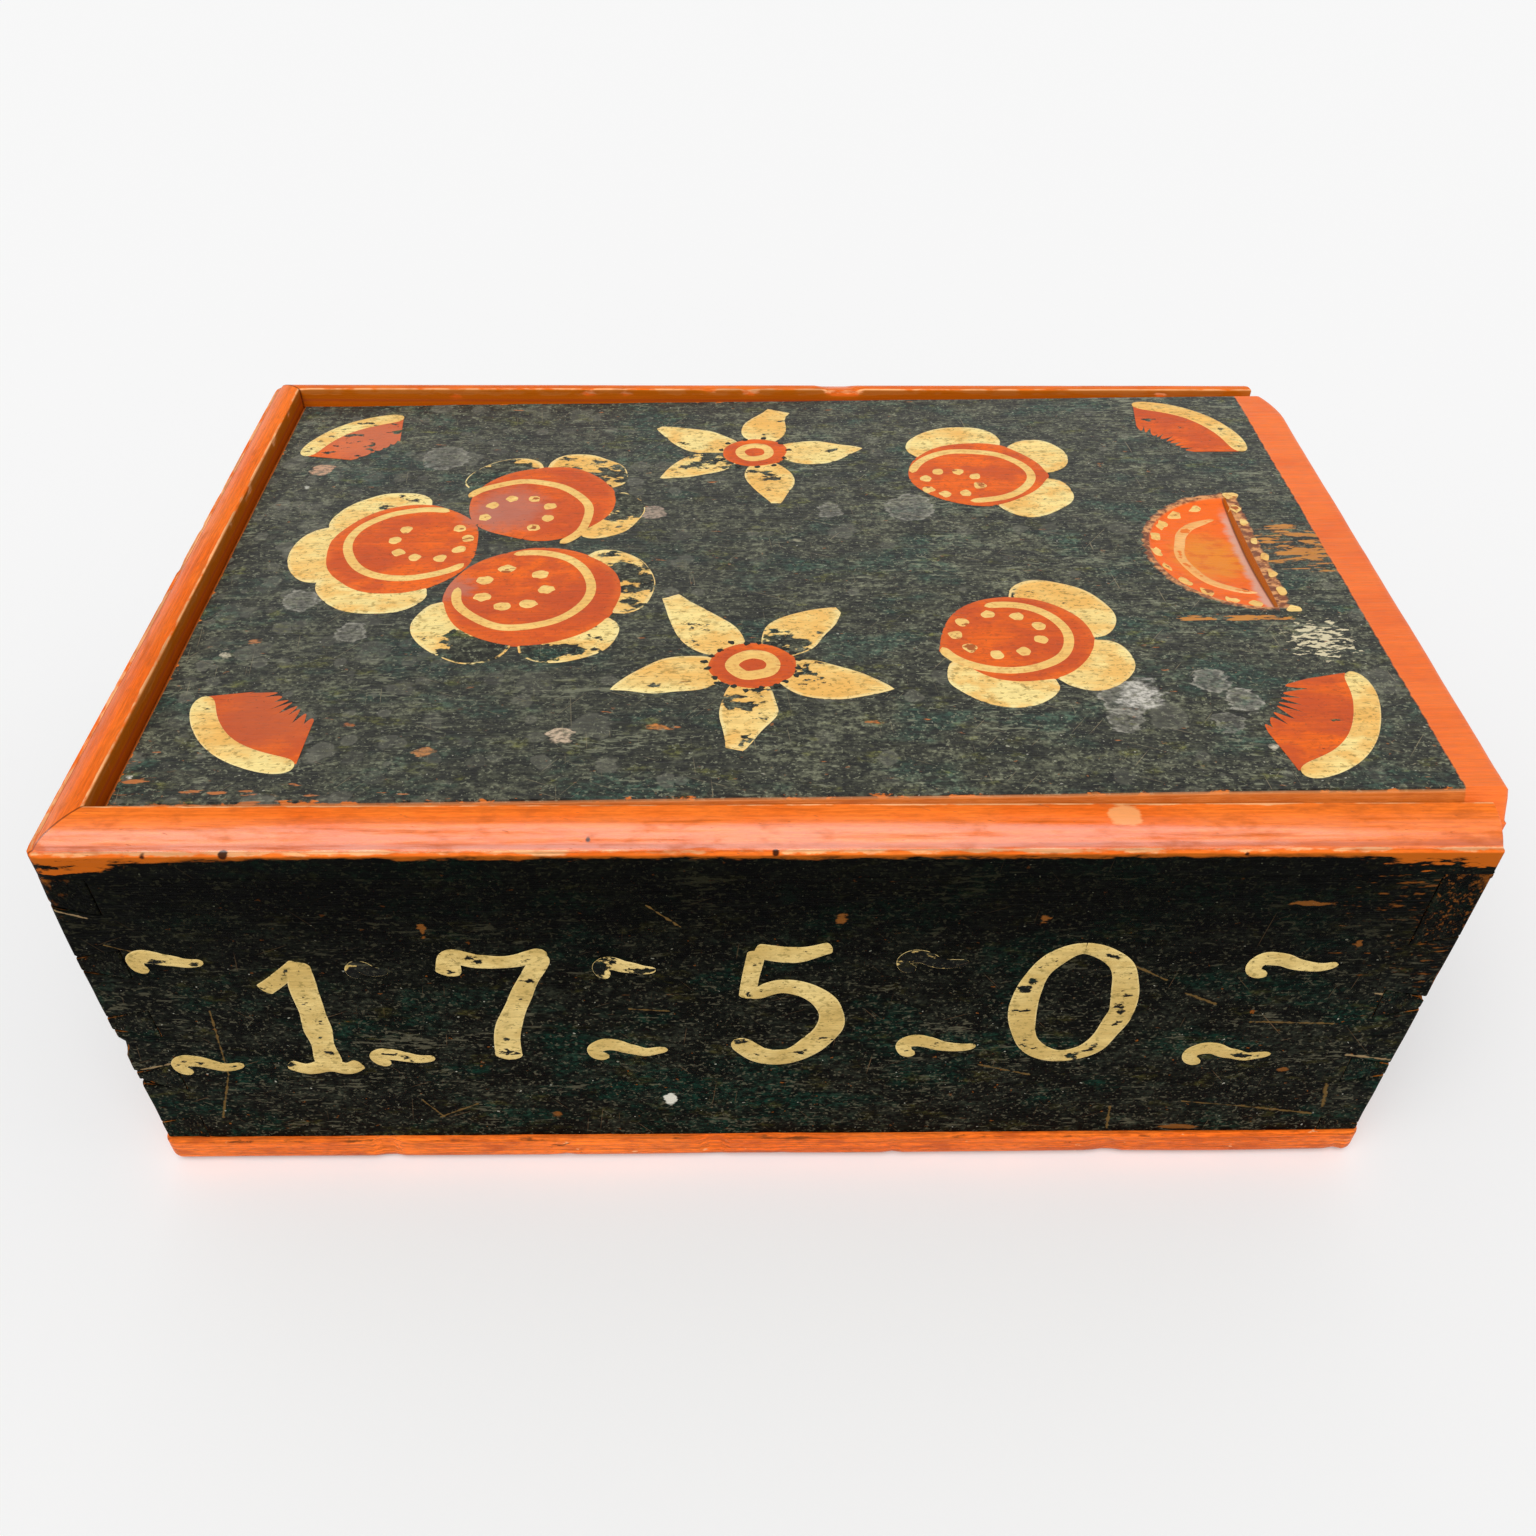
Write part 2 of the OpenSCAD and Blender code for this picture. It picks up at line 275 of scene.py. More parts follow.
def begin(name):
    """A new material, its Principled shader, and the place of each point in millimetres in the box's
    frame."""
    material = bpy.data.materials.new(name)
    material.use_nodes = True
    nodes = material.node_tree.nodes
    place = vectors("MULTIPLY", Wire(nodes.new("ShaderNodeTexCoord").outputs["Object"]), [1 / MM] * 3)
    return material, nodes["Principled BSDF"], place


def tinted(colour, mask, tint, amount=1.0):
    """A tint laid over a colour where the mask is 1, as strongly as the amount says."""
    return mixed(mask * amount, colour, tint)


def axes(place):
    """The three numbers of a place."""
    made = new_node("SeparateXYZ", place)
    feed(made.inputs[0], place)
    return [Wire(output) for output in made.outputs]


def mark(beside, label):
    """A number that the mesh carries on its points, in the tree of another wire."""
    made = new_node("Attribute", beside)
    made.attribute_name = label
    return Wire(made.outputs["Fac"])


def coated(shader, colour, roughness, specular, height, depth):
    """Feeds a shader its colour and roughness, sets its specular level, and gives it grain and brush
    marks that stand about the given depth in millimetres."""
    feed(shader.inputs["Base Color"], colour)
    feed(shader.inputs["Roughness"], roughness)
    shader.inputs["Specular IOR Level"].default_value = specular
    bump = new_node("Bump", height)
    bump.inputs["Distance"].default_value = depth * MM
    bump.inputs["Strength"].default_value = 1.0
    feed(bump.inputs["Height"], height)
    feed(shader.inputs["Normal"], Wire(bump.outputs[0]))


def make(name, points, faces, material, **marks):
    """A closed mesh from points in millimetres and lists of faces, smooth except across sharp arrises
    and on faces of many sides, with each mark kept as a number on every point for the material."""
    mesh = bpy.data.meshes.new(name)
    mesh.from_pydata((points * MM).tolist(), [], faces)
    for label, values in marks.items():
        kept = mesh.attributes.new(label, "FLOAT", "POINT")
        kept.data.foreach_set("value", np.ascontiguousarray(values, dtype=np.float32))
    form = bmesh.new()
    form.from_mesh(mesh)
    bmesh.ops.recalc_face_normals(form, faces=form.faces)
    form.to_mesh(mesh)
    form.free()
    mesh.shade_smooth()
    mesh.set_sharp_from_angle(angle=np.radians(38))
    flat = np.array([len(face) > 4 for face in faces])
    mesh.attributes.new("sharp_face", "BOOLEAN", "FACE").data.foreach_set("value", flat)
    mesh.materials.append(material)
    piece = bpy.data.objects.new(name, mesh)
    bpy.context.scene.collection.objects.link(piece)
    return piece


def bottom_board_mesh():
    """A box lattice whose plan has round corners. Up the edge the plan is drawn in along two quarter
    circles, a large one at the foot and a small one at the top, made larger by chips."""
    low, high = span("bottom_board")
    zs = np.unique(np.concatenate([
        low[2] + foot_wear * (1 - np.cos(np.linspace(0, np.pi / 2, 8))),
        np.linspace(foot_wear, high[2] - top_arris, 4),
        high[2] - top_arris * (1 - np.cos(np.linspace(0, np.pi / 2, 5))),
    ]).round(4))
    points, faces = skin(
        graded(low[0], high[0], base_pitch, base_rim), graded(low[1], high[1], base_pitch, base_rim), zs)
    height = points[:, 2] - low[2]
    below = np.clip(foot_wear - height, 0, foot_wear)
    above = np.clip(height - (high[2] - low[2] - top_arris), 0, top_arris)
    inset = foot_wear - np.sqrt(foot_wear ** 2 - below ** 2)
    inset += top_arris - np.sqrt(top_arris ** 2 - above ** 2)
    chips = np.clip(ripple(points * (1, 1, 0.4), 17, 4) - 0.75, 0, None) * 1.6
    uneven = np.clip(0.14 + 0.12 * ripple(points, 55, 5), 0.0, None) + chips
    plan = round_corners(points[:, :2], high[:2], base_corner, np.minimum(inset + uneven, 3.4))
    rim = np.clip(1 - np.abs(height - (high[2] - low[2] - 0.6)) / 1.6, 0, 1)
    return np.column_stack([plan, points[:, 2]]), faces, rim


def bottom_board_material():
    """Orange paint on the edge, darker towards its foot in ragged patches, and bare wood on the underside
    and inside the box."""
    material, shader, place = begin("bottom_board_orange")
    x, y, z = axes(place)
    coat = use(old_paint, Place=place, Paint=shade(242, 118, 34), Faded=shade(230, 102, 22),
               Bare=shade(132, 66, 22), Edge=mark(place, "rim"), Rub=0.46, Chips=0.42, Bristle=0.42)
    # The edge darkens towards its foot, with a ragged boundary.
    darkening_height = cloud(place, (14, 14, 5), 4.0, 7.7) * 5.0 + z
    edge_colour = tinted(coat["Colour"], rise(darkening_height, 6.4, 3.2), shade(168, 74, 22), 0.85)
    soiled = rise(cloud(place, (11, 5, 4), 5.0, 52.0), 0.5, 0.68)
    edge_colour = tinted(edge_colour, soiled, shade(188, 78, 20), 0.7)
    pale = rise(cloud(place, (5, 2.5, 2.5), 3.0, 83.0), 0.69, 0.74)
    edge_colour = tinted(edge_colour, pale, shade(252, 190, 136), 0.75)
    wood = use(bare_wood, Place=place, Light=shade(176, 134, 88), Dark=shade(122, 84, 50), Dirt=0.55)
    edge_x, edge_y = span("bottom_board")[1][:2]
    rim = greater(rise(abs(x), edge_x - bare_from, edge_x - painted_from),
                  rise(abs(y), edge_y - bare_from, edge_y - painted_from))
    painted = rim * rise(z, 0.2, 0.9)
    coated(shader, mixed(painted, wood["Colour"], edge_colour), coat["Roughness"] + 0.5 - painted * 0.25, 0.1,
           coat["Height"] + wood["Height"], 0.25)
    return material


points, faces, rim = bottom_board_mesh()
bottom_board = make("base", points, faces.tolist(), bottom_board_material(), rim=rim)
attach(bottom_board, "case")
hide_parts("bottom_board")


# Wall boards: four sawn softwood boards dovetailed at the corners. The front and back boards carry
# the tails, four at the left end and three wider ones at the right, and the end boards carry the
# pins. They are painted green-black outside, rubbed to brown wood at the corners, and bare inside.
wall_pitch = 4.0
tail_slope = 0.28
tail_overlap = 4.0
proud = 0.02
round_from = 80.0
hidden_gap = 0.1
left_tails = (112.3, 19.6, 24.6, 4)
right_tails = (99.0, 25.0, 30.0, 3)


def worn(points, low, high, radius):
    """A box with rubbed arrises: each point moves to its wear radius from the nearest point of the
    box shrunk by that radius. Also how far round an arris it lies, 0 on a face and 1 on the edge."""
    radius = np.broadcast_to(radius, len(points))[:, None]
    core = np.clip(points, low + radius, high - radius)
    out = points - core
    length = np.linalg.norm(out, axis=1, keepdims=True)
    around = (length / radius - 1) / (np.sqrt(2) - 1)
    return core + out * radius / length, np.clip(around[:, 0], 0, 1)


def board(low, high, seed, soft=0.45, corners=()):
    """A plank: a worn box whose arrises are softer in some places than others, with chips out of
    them. Its arrises along the named upright corner lines are rubbed most."""
    points, faces = skin(*[graded(a, b, wall_pitch, min(3.2, 0.42 * (b - a))) for a, b in zip(low, high)])
    rub = soft * (1 + 0.35 * ripple(points, 30, seed))
    chips = np.clip(ripple(points, 7.5, seed + 1) - 0.62, 0, None)
    for corner in corners:
        near = np.exp(-(np.linalg.norm(points[:, :2] - corner, axis=1) / 6) ** 4)
        rub = rub + near * (0.55 + 0.3 * ripple(points, 21, seed + 2) + 3.2 * chips)
    rub = np.clip(rub + 0.5 * chips, 0.15, 0.45 * (np.array(high) - low).min())
    sheltered = points[:, 2] > wall_high[2] - 1.5
    placed, around = worn(points, np.array(low), np.array(high), np.where(sheltered, 0.1, rub))
    return placed, faces, np.where(sheltered, 0.0, around)


def wedge(low, high, seed, outer, flare, corners):
    """A tail or a pin: a plank whose lower and upper faces slope by the two flares, in millimetres
    for each millimetre in from the outer face at X = outer, up to the wall's own thickness."""
    points, faces, around = board(low, high, seed, 0.22, corners)
    inward = np.clip(np.abs(points[:, 0] - outer), 0, wall)
    share = np.clip((points[:, 2] - low[2]) / (high[2] - low[2]), 0, 1)
    points[:, 2] += inward * (flare[0] * (1 - share) + flare[1] * share)
    near = np.exp(-(np.linalg.norm(points[:, :2] - corners[0], axis=1) / 5) ** 4)
    return points, faces, around * near


def joined(parts):
    """Several shells as one: their points one after the other, and their faces numbered to match."""
    points, faces, around = zip(*parts)
    starts = np.cumsum([0] + [len(shell) for shell in points[:-1]])
    faces = [shell + start for shell, start in zip(faces, starts)]
    return np.concatenate(points), np.concatenate(faces), np.concatenate(around)


def joint_heights(tails, bottom, top):
    """The lower and upper edge of each tail at the board's end, and of each pin between them with
    the flare of its two faces."""
    first, size, step, count = tails
    uppers = first - step * np.arange(count)
    lowers = uppers - size
    pins = [(uppers[0], top, -tail_slope, 0.0)]
    pins += [(upper, lower, -tail_slope, tail_slope) for upper, lower in zip(uppers[1:], lowers)]
    pins.append((bottom, lowers[-1], 0.0, tail_slope))
    return list(zip(lowers, uppers)), pins


wall_low = np.minimum(span("left_end_board")[0], span("front_board")[0])
wall_high = np.maximum(span("right_end_board")[1], span("back_board")[1])
wall = span("left_end_board")[1][0] - span("left_end_board")[0][0]
joints = {-1: joint_heights(left_tails, wall_low[2], wall_high[2]),
          1: joint_heights(right_tails, wall_low[2], wall_high[2])}
seam = 0.05


def worn_corners(points, faces, around):
    """A wall board whose upright corners at the left are worn round, more so near the top, where they
    meet the round corners of the rails."""
    high = np.clip((points[:, 2] - round_from) / (wall_high[2] - round_from), 0, 1)
    plan = round_corners(points[:, :2], wall_high[:2] + proud, 0.3 + 3.1 * high ** 2, 0.0)
    plan = np.where(points[:, :1] < 0, plan, points[:, :2])
    return np.concatenate([plan, points[:, 2:]], axis=1), faces, around


def long_board(side, seed):
    """The front or back board: a plank between the end boards, and at each end its tails, which run
    a few millimetres back over the plank so that the face is unbroken there."""
    face = side * wall_high[1]
    inner = side * (wall_high[1] - wall)
    parts = [board((wall_low[0] + wall, min(face, inner), wall_low[2]),
                   (wall_high[0] - wall, max(face, inner), wall_high[2]), seed)]
    for end in (-1, 1):
        outer = end * wall_high[0]
        deep = end * (wall_high[0] - wall - tail_overlap)
        shown = side * (wall_high[1] + proud)
        hidden = side * (wall_high[1] - wall + hidden_gap)
        for lower, upper in joints[end][0]:
            parts.append(wedge(
                (min(outer, deep), min(shown, hidden), lower + seam),
                (max(outer, deep), max(shown, hidden), upper - seam),
                seed + 7 * len(parts), outer, (tail_slope, -tail_slope), [(outer, face)]))
    return worn_corners(*joined(parts))


def end_board(end, seed):
    """The left or right end board: a plank between the front and back boards, with a row of pins
    at each side that come through to the face of those boards."""
    outer = end * wall_high[0]
    inner = end * (wall_high[0] - wall)
    depth = wall_high[1] - wall
    parts = [board((min(outer, inner), -depth, wall_low[2]),
                   (max(outer, inner), depth, wall_high[2]), seed)]
    for side in (-1, 1):
        shown = side * wall_high[1]
        deep = side * (depth - tail_overlap)
        face = end * (wall_high[0] + proud)
        hidden = end * (wall_high[0] - wall + hidden_gap)
        for lower, upper, low_flare, high_flare in joints[end][1]:
            parts.append(wedge(
                (min(face, hidden), min(shown, deep), lower + seam),
                (max(face, hidden), max(shown, deep), upper - seam),
                seed + 7 * len(parts), outer, (low_flare, high_flare), [(outer, shown)]))
    return worn_corners(*joined(parts))


def turned(place, axis, degrees):
    """The place in a frame turned round one axis, so that a pattern along its X lies across or aslant."""
    made = new_node("Mapping", place)
    made.inputs["Rotation"].default_value["XYZ".index(axis)] = np.radians(degrees)
    feed(made.inputs["Vector"], place)
    return Wire(made.outputs[0])


def dark_ground_group(name, flat_axis, under_rail_shade, black, green, olive, faded, dash, chip):
    """Green-black oil paint on a board whose grain runs along X and whose face is square to the flat
    axis: blotches from black to grey with green and olive patches, fine grit and dust, short light
    dashes with the grain that crowd in places, brown chips where the paint was knocked off, white
    specks, and fine scratches in three directions. Between two heights, if given, it darkens upwards:
    painted shade under the rails."""
    tree, take, give = new_group(
        name, {"Place": "Vector", "Edge": "Float"},
        {"Colour": "Color", "Roughness": "Float", "Height": "Float"})
    place = take["Place"]
    ground = mixed(rise(cloud(place, (13, 8, 8), 5.0, 57.0), 0.4, 0.66), black, faded)
    greener = rise(cloud(place, (28, 14, 14), 4.0, 21.0), 0.5, 0.64)
    ground = tinted(ground, greener, green, 0.6)
    greyer = rise(cloud(place, (11, 5, 5), 4.0, 87.0), 0.56, 0.68)
    ground = tinted(ground, greyer, olive, 0.65)
    for sizes, shift in (((1.3, 1.0, 1.0), 49.0), ((3.2, 2.2, 2.2), 59.0)):
        grit = rise(cloud(place, sizes, 4.0, shift), 0.36, 0.64)
        ground = mixed(1.0, ground, grit * 1.5 + 0.25, "MULTIPLY")
    coat = use(old_paint, Place=place, Paint=ground, Faded=ground, Bare=chip,
               Edge=take["Edge"], Rub=0.68, Chips=0.28, Bristle=0.24)
    crowd = cloud(place, (30, 11, 11), 3.0, 44.0)
    dashes = crowd * 0.7 + cloud(place, (5.0, 1.1, 1.1), 3.0, 15.0)
    colour = tinted(coat["Colour"], rise(dashes, 1.0, 1.06), dash, 0.5)
    dark_dashes = rise(cloud(place, (8.0, 1.7, 1.7), 4.0, 19.0), 0.57, 0.62)
    colour = tinted(colour, dark_dashes, black, 0.6)
    knocks = rise(cloud(place, (3.2, 2.0, 2.0), 3.0, 77.0), 0.7, 0.73)
    colour = tinted(colour, knocks, chip, 0.8)
    scratched = [0.65 * light + 0.35 * brown for light, brown in zip(dash, chip)]
    for degrees, shift in ((24, 27.0), (-52, 37.0), (83, 47.0)):
        lines = cloud(turned(place, flat_axis, degrees), (21, 0.5, 0.5), 1.0, shift)
        colour = tinted(colour, rise(lines, 0.74, 0.79), scratched, 0.6)
    specks = rise(cloud(place, (1.5, 1.2, 1.2), 1.0, 33.0), 0.765, 0.79)
    colour = tinted(colour, specks, shade(205, 202, 184), 0.6)
    dust = rise(cloud(place, (1.2, 0.9, 0.9), 2.0, 97.0), 0.6, 0.66)
    colour = tinted(colour, dust, dash, 0.5)
    # Painted shade: darker upwards between the two heights, under the rails.
    if under_rail_shade:
        high = rise(axes(place)[2], *under_rail_shade)
        colour = mixed(high, colour, shade(112, 114, 100), "MULTIPLY")
    feed(give["Colour"], colour)
    feed(give["Roughness"], coat["Roughness"])
    feed(give["Height"], coat["Height"] - knocks * 0.5)
    return tree


# The walls' copy of the dark paint is far blacker than the lid's: partly the paint's own colour, partly
# painted shade on the upright faces. It also darkens upwards from 55 to 118 mm as painted shade under the
# rails.
shaded_wall_ground = dark_ground_group("wall ground", "Y", (55.0, 118.0), shade(6, 7, 4), shade(4, 34, 25),
                                shade(42, 39, 14), shade(27, 29, 22), shade(104, 100, 80),
                                shade(150, 84, 26))


def spot_at(place, centre, radius, fray, ragged=3.0, soft=0.6, keep=(1, 1, 0)):
    """A round patch with a frayed edge: 1 within the radius of a centre, 0 outside. Distances count
    only along the axes that are kept, and fray is a noise that moves the edge in and out."""
    away = vectors("DISTANCE", vectors("MULTIPLY", place, keep),
                   [part * kept for part, kept in zip(centre, keep)], output="Value")
    return rise(fray * (2 * ragged) + (away - ragged), radius + soft, radius - soft)


def scratch(place, start, stop, half, fray, keep):
    """A straight scratch: 1 within half a width of the line between two places, 0 further off. Distances
    count only along the axes that are kept, and fray is a noise that breaks the line up."""
    start, stop = np.array(start) * keep, np.array(stop) * keep
    along = stop - start
    away = vectors("MULTIPLY_ADD", place, keep, (-start).tolist())
    share = vectors("DOT_PRODUCT", away, (along / (along @ along)).tolist(), output="Value")
    share = reckon("MINIMUM", greater(share, 0.0), 1.0)
    gap = vectors("DISTANCE", away, vectors("MULTIPLY", share, along.tolist()), output="Value")
    return rise(fray * (4 * half) + (gap - 2 * half), 0.9 * half, 0.2 * half)


# Wear that shows on the front. A scratch is its two ends and half width; a chip is its middle, radius
# and how much narrower than high it is. Places are X and Z on the face.
front_scratches = (
    ((88, 92), (104, 82), 0.4), ((110, 76.5), (119, 72), 0.5), ((130.5, 64), (153, 63), 0.5),
    ((120, 26.5), (137, 24), 0.3), ((137, 24), (159, 20), 0.55), ((159.5, 35), (161.5, 23.5), 0.7),
    ((59, 45), (74, 40), 0.4), ((99.5, 24), (100.5, 13), 0.5), ((-36.5, 71), (-26, 70), 0.35),
    ((-147, 71), (-149.5, 42.5), 0.35), ((-149.5, 42.5), (-156.5, 21.5), 0.4),
    ((-94, 21), (-82.5, 27.5), 0.4), ((-98, 29.5), (-93, 21), 0.35), ((-166, 98), (-152, 92), 0.3),
    ((-30, 112), (-22, 104), 0.4),
)
joint_lines = (
    ((160.5, 76), (173.5, 74.2), 0.45), ((161, 48.7), (174, 46.2), 0.5), ((163, 13), (175, 11.4), 0.5),
    ((-173, 45), (-164, 47.5), 0.4), ((-173, 67.7), (-165, 70.6), 0.45),
    ((-175.5, 111.6), (-167, 108.2), 0.4), ((-174, 19.2), (-166, 17.7), 0.5),
)
front_chips = (
    (134, 111.6, 2.0, 0.45), (122, 13.5, 2.0, 0.5), (-86, 102, 1.5, 1.6), (18.3, 106.5, 1.3, 1.0),
    (68.3, 106, 1.2, 1.0), (-60, 22, 1.0, 1.0), (150, 96, 1.3, 1.4), (145, 42, 1.0, 0.8),
)


def front_wear(place, colour, fray):
    """Lays the front's scratches, joint lines and chips over its paint, and a drop of white paint."""
    shown = rise(axes(place)[1], wall_low[1] + 1.5, wall_low[1] + 0.5)
    broken = cloud(place, (2.4, 1.8, 1.8), 3.0, 12.0)
    for lines, tint in ((front_scratches, shade(120, 92, 48)), (joint_lines, shade(168, 140, 100))):
        for start, stop, half in lines:
            ends = ((start[0], 0, start[1]), (stop[0], 0, stop[1]))
            line = scratch(place, *ends, half, broken, (1, 0, 1))
            colour = tinted(colour, line * shown, tint, 0.7)
    for x_mm, z_mm, radius, narrow in front_chips:
        chip = spot_at(place, (x_mm, 0, z_mm), radius, fray, 3.5, 0.3, (narrow, 0, 1 / narrow))
        colour = tinted(colour, chip * shown, shade(134, 80, 30), 0.75)
    drop = spot_at(place, (-27.4, wall_low[1], 29.4), 2.3, fray, 2.5, 0.3, (1.2, 1, 0.9))
    return tinted(colour, drop, shade(226, 222, 206), 0.9)


def corner_nearness(place):
    """A number in millimetres that is half the case's length at its four upright corner lines and falls
    off by one for each millimetre away from them along a face."""
    x, y = axes(place)[:2]
    return abs(x) + abs(y) - wall_high[1]


dull_sheen = 0.025
inside_wood = dict(Light=shade(184, 142, 94), Dark=shade(130, 90, 52), Dirt=0.45)


def wall_material(name, across):
    """The dark ground outside, made blackest under the rails by painted shade, worn brown in thin smears
    at the right end and in patches at the top corners, with the front's own wear; bare wood inside and
    on the top edge."""
    material, shader, place = begin(name)
    grain = turned(place, "Z", 90) if across else place
    x, y, z = axes(place)
    coat = use(shaded_wall_ground, Place=grain, Edge=mark(place, "around"))
    smears = cloud(grain, (6, 1.2, 1.2), 5.0, 71.0)
    nearness = corner_nearness(place)
    side = rise(x, 100.0, 140.0) * rise(nearness, 118.0, 178.0) * rise(z, 40.0, 116.0)
    smeared = rise(side * 0.17 + smears, 0.7, 0.78)
    colour = tinted(coat["Colour"], smeared, shade(126, 72, 22), 0.7)
    fray = cloud(grain, (6, 2.4, 2.4), 5.0, 72.0)
    corner = fray * 34.0 + z * 0.8 + nearness
    colour = tinted(colour, rise(corner, 282.0, 294.0), shade(150, 84, 22), 0.8)
    if not across:
        colour = front_wear(place, colour, fray)
    wood = use(bare_wood, Place=grain, **inside_wood)
    inner_x, inner_y = wall_high[:2] - wall
    outside = greater(rise(abs(x), inner_x + 0.1, inner_x + 0.5),
                      rise(abs(y), inner_y + 0.1, inner_y + 0.5))
    painted = outside * rise(z, wall_high[2] + 0.3, wall_high[2] - 0.05)
    coated(shader, mixed(painted, wood["Colour"], colour), coat["Roughness"] + 0.5, dull_sheen,
           coat["Height"] + wood["Height"], 0.22)
    return material


long_paint = wall_material("wall_green_black", False)
end_paint = wall_material("end_green_black", True)
walls = {
    "front_board": (long_board(-1, 100), long_paint),
    "back_board": (long_board(1, 300), long_paint),
    "left_end_board": (end_board(-1, 500), end_paint),
    "right_end_board": (end_board(1, 700), end_paint),
}
for node, ((points, faces, around), paint) in walls.items():
    piece = make(node.replace("_board", "_wall"), points, faces.tolist(), paint, around=around)
    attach(piece, "case")
    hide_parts(node)


# Bottom nails: hand-made iron nails with flat round heads, driven up through the bottom board into
# the walls. They have rusted to a dark scaly brown.
def iron_material():
    """Rusted iron: dark scale with orange-brown rust in patches, rough all over."""
    material, shader, place = begin("rusted_iron")
    patches = cloud(place, (1.4, 1.4, 1.4), 5.0, 4.0)
    scale = cloud(place, (0.35, 0.35, 0.35), 3.0, 9.0)
    rust = mixed(rise(patches, 0.4, 0.65), shade(38, 30, 26), shade(104, 56, 30))
    feed(shader.inputs["Metallic"], rise(patches, 0.6, 0.4))
    coated(shader, mixed(0.5, rust, scale, "MULTIPLY"), patches * 0.4 + 0.45, 0.5, scale, 0.08)
    return material


rusted_iron = iron_material()


def finish_node(node, material):
    """Gives a CAD node its finished material."""
    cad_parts[node].data.materials.clear()
    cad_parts[node].data.materials.append(material)


finish_node("bottom_nails", rusted_iron)


# Rails: three moulded softwood strips nailed on top of the walls, mitred at the two left corners.
# Each has a small ledge, a thumb moulding above it and a rebate below that the lid slides in. They
# are painted orange-red, glossy on the round, with the wall's dark paint lapping up their lower edge.
rail_low, rail_high = span("front_rail")
rail_wide = rail_high[1] - rail_low[1]
rail_tall = rail_high[2] - rail_low[2]
ledge_height = 8.0
ledge_wide = 1.3
ledge_arris = 0.75
inner_arris = 0.7
rebate_deep = 6.0
rebate_tall = 5.6
rail_corner = 3.4
mitre_gap = 0.05
gloss_from, gloss_full = np.radians((13.0, 30.0))


def rail_profile():
    """The moulding's section, from the outer foot up and over to the rebate, as depth in from the outer
    face and height above the wall. The thumb is an arc that is level at the inner edge and ends at the
    ledge; its radius follows from those two. Each point has two marks: 1 on the arrises that rub, which
    the material paints pale as wear and as a painted highlight, and 1 on the steep part of the thumb,
    which hands don't reach and which has kept its gloss."""
    reach = rail_wide - ledge_wide
    climb = rail_tall - ledge_height
    radius = (reach ** 2 + climb ** 2) / (2 * climb)
    turn = np.linspace(np.pi, np.pi / 2, 7)
    lip = np.stack([ledge_arris * (1 + np.cos(turn)), ledge_height - ledge_arris * (1 - np.sin(turn))], 1)
    angle = np.linspace(np.arcsin(reach / radius), np.arcsin(inner_arris / radius), 40)
    thumb = np.stack([rail_wide - radius * np.sin(angle), rail_tall - radius * (1 - np.cos(angle))], 1)
    turn = np.linspace(np.pi / 2, 0, 6)[1:]
    brow = np.stack([rail_wide - inner_arris * (1 - np.cos(turn)),
                     rail_tall - inner_arris * (1 - np.sin(turn))], 1)
    face = np.stack([np.zeros(10), np.linspace(0, ledge_height - ledge_arris, 11)[:-1]], 1)
    drop = np.linspace(rail_tall - inner_arris, rebate_tall + 0.3, 7)[1:]
    inside = np.stack([np.full(6, rail_wide), drop], 1)
    rebate = np.array([(rail_wide - 0.3, rebate_tall), (rebate_deep + 2, rebate_tall),
                       (rebate_deep, rebate_tall), (rebate_deep, 2.5), (rebate_deep, 0.0)])
    shape = np.concatenate([face, lip, thumb, brow, inside, rebate])
    rubbed = [np.exp(-((face[:, 1] - ledge_height) / 0.7) ** 2), np.linspace(0.5, 1.0, len(lip)),
              np.exp(-np.arange(len(thumb)) / 1.5) + np.exp(-np.arange(len(thumb))[::-1] / 1.5),
              np.ones(len(brow)), np.exp(-np.arange(len(inside)) / 1.0), np.zeros(len(rebate))]
    gloss = np.zeros(len(shape))
    steep = np.clip((angle - gloss_from) / (gloss_full - gloss_from), 0, 1)
    gloss[len(face) + len(lip):][:len(thumb)] = steep
    return shape, np.clip(np.concatenate(rubbed), 0, 1), gloss


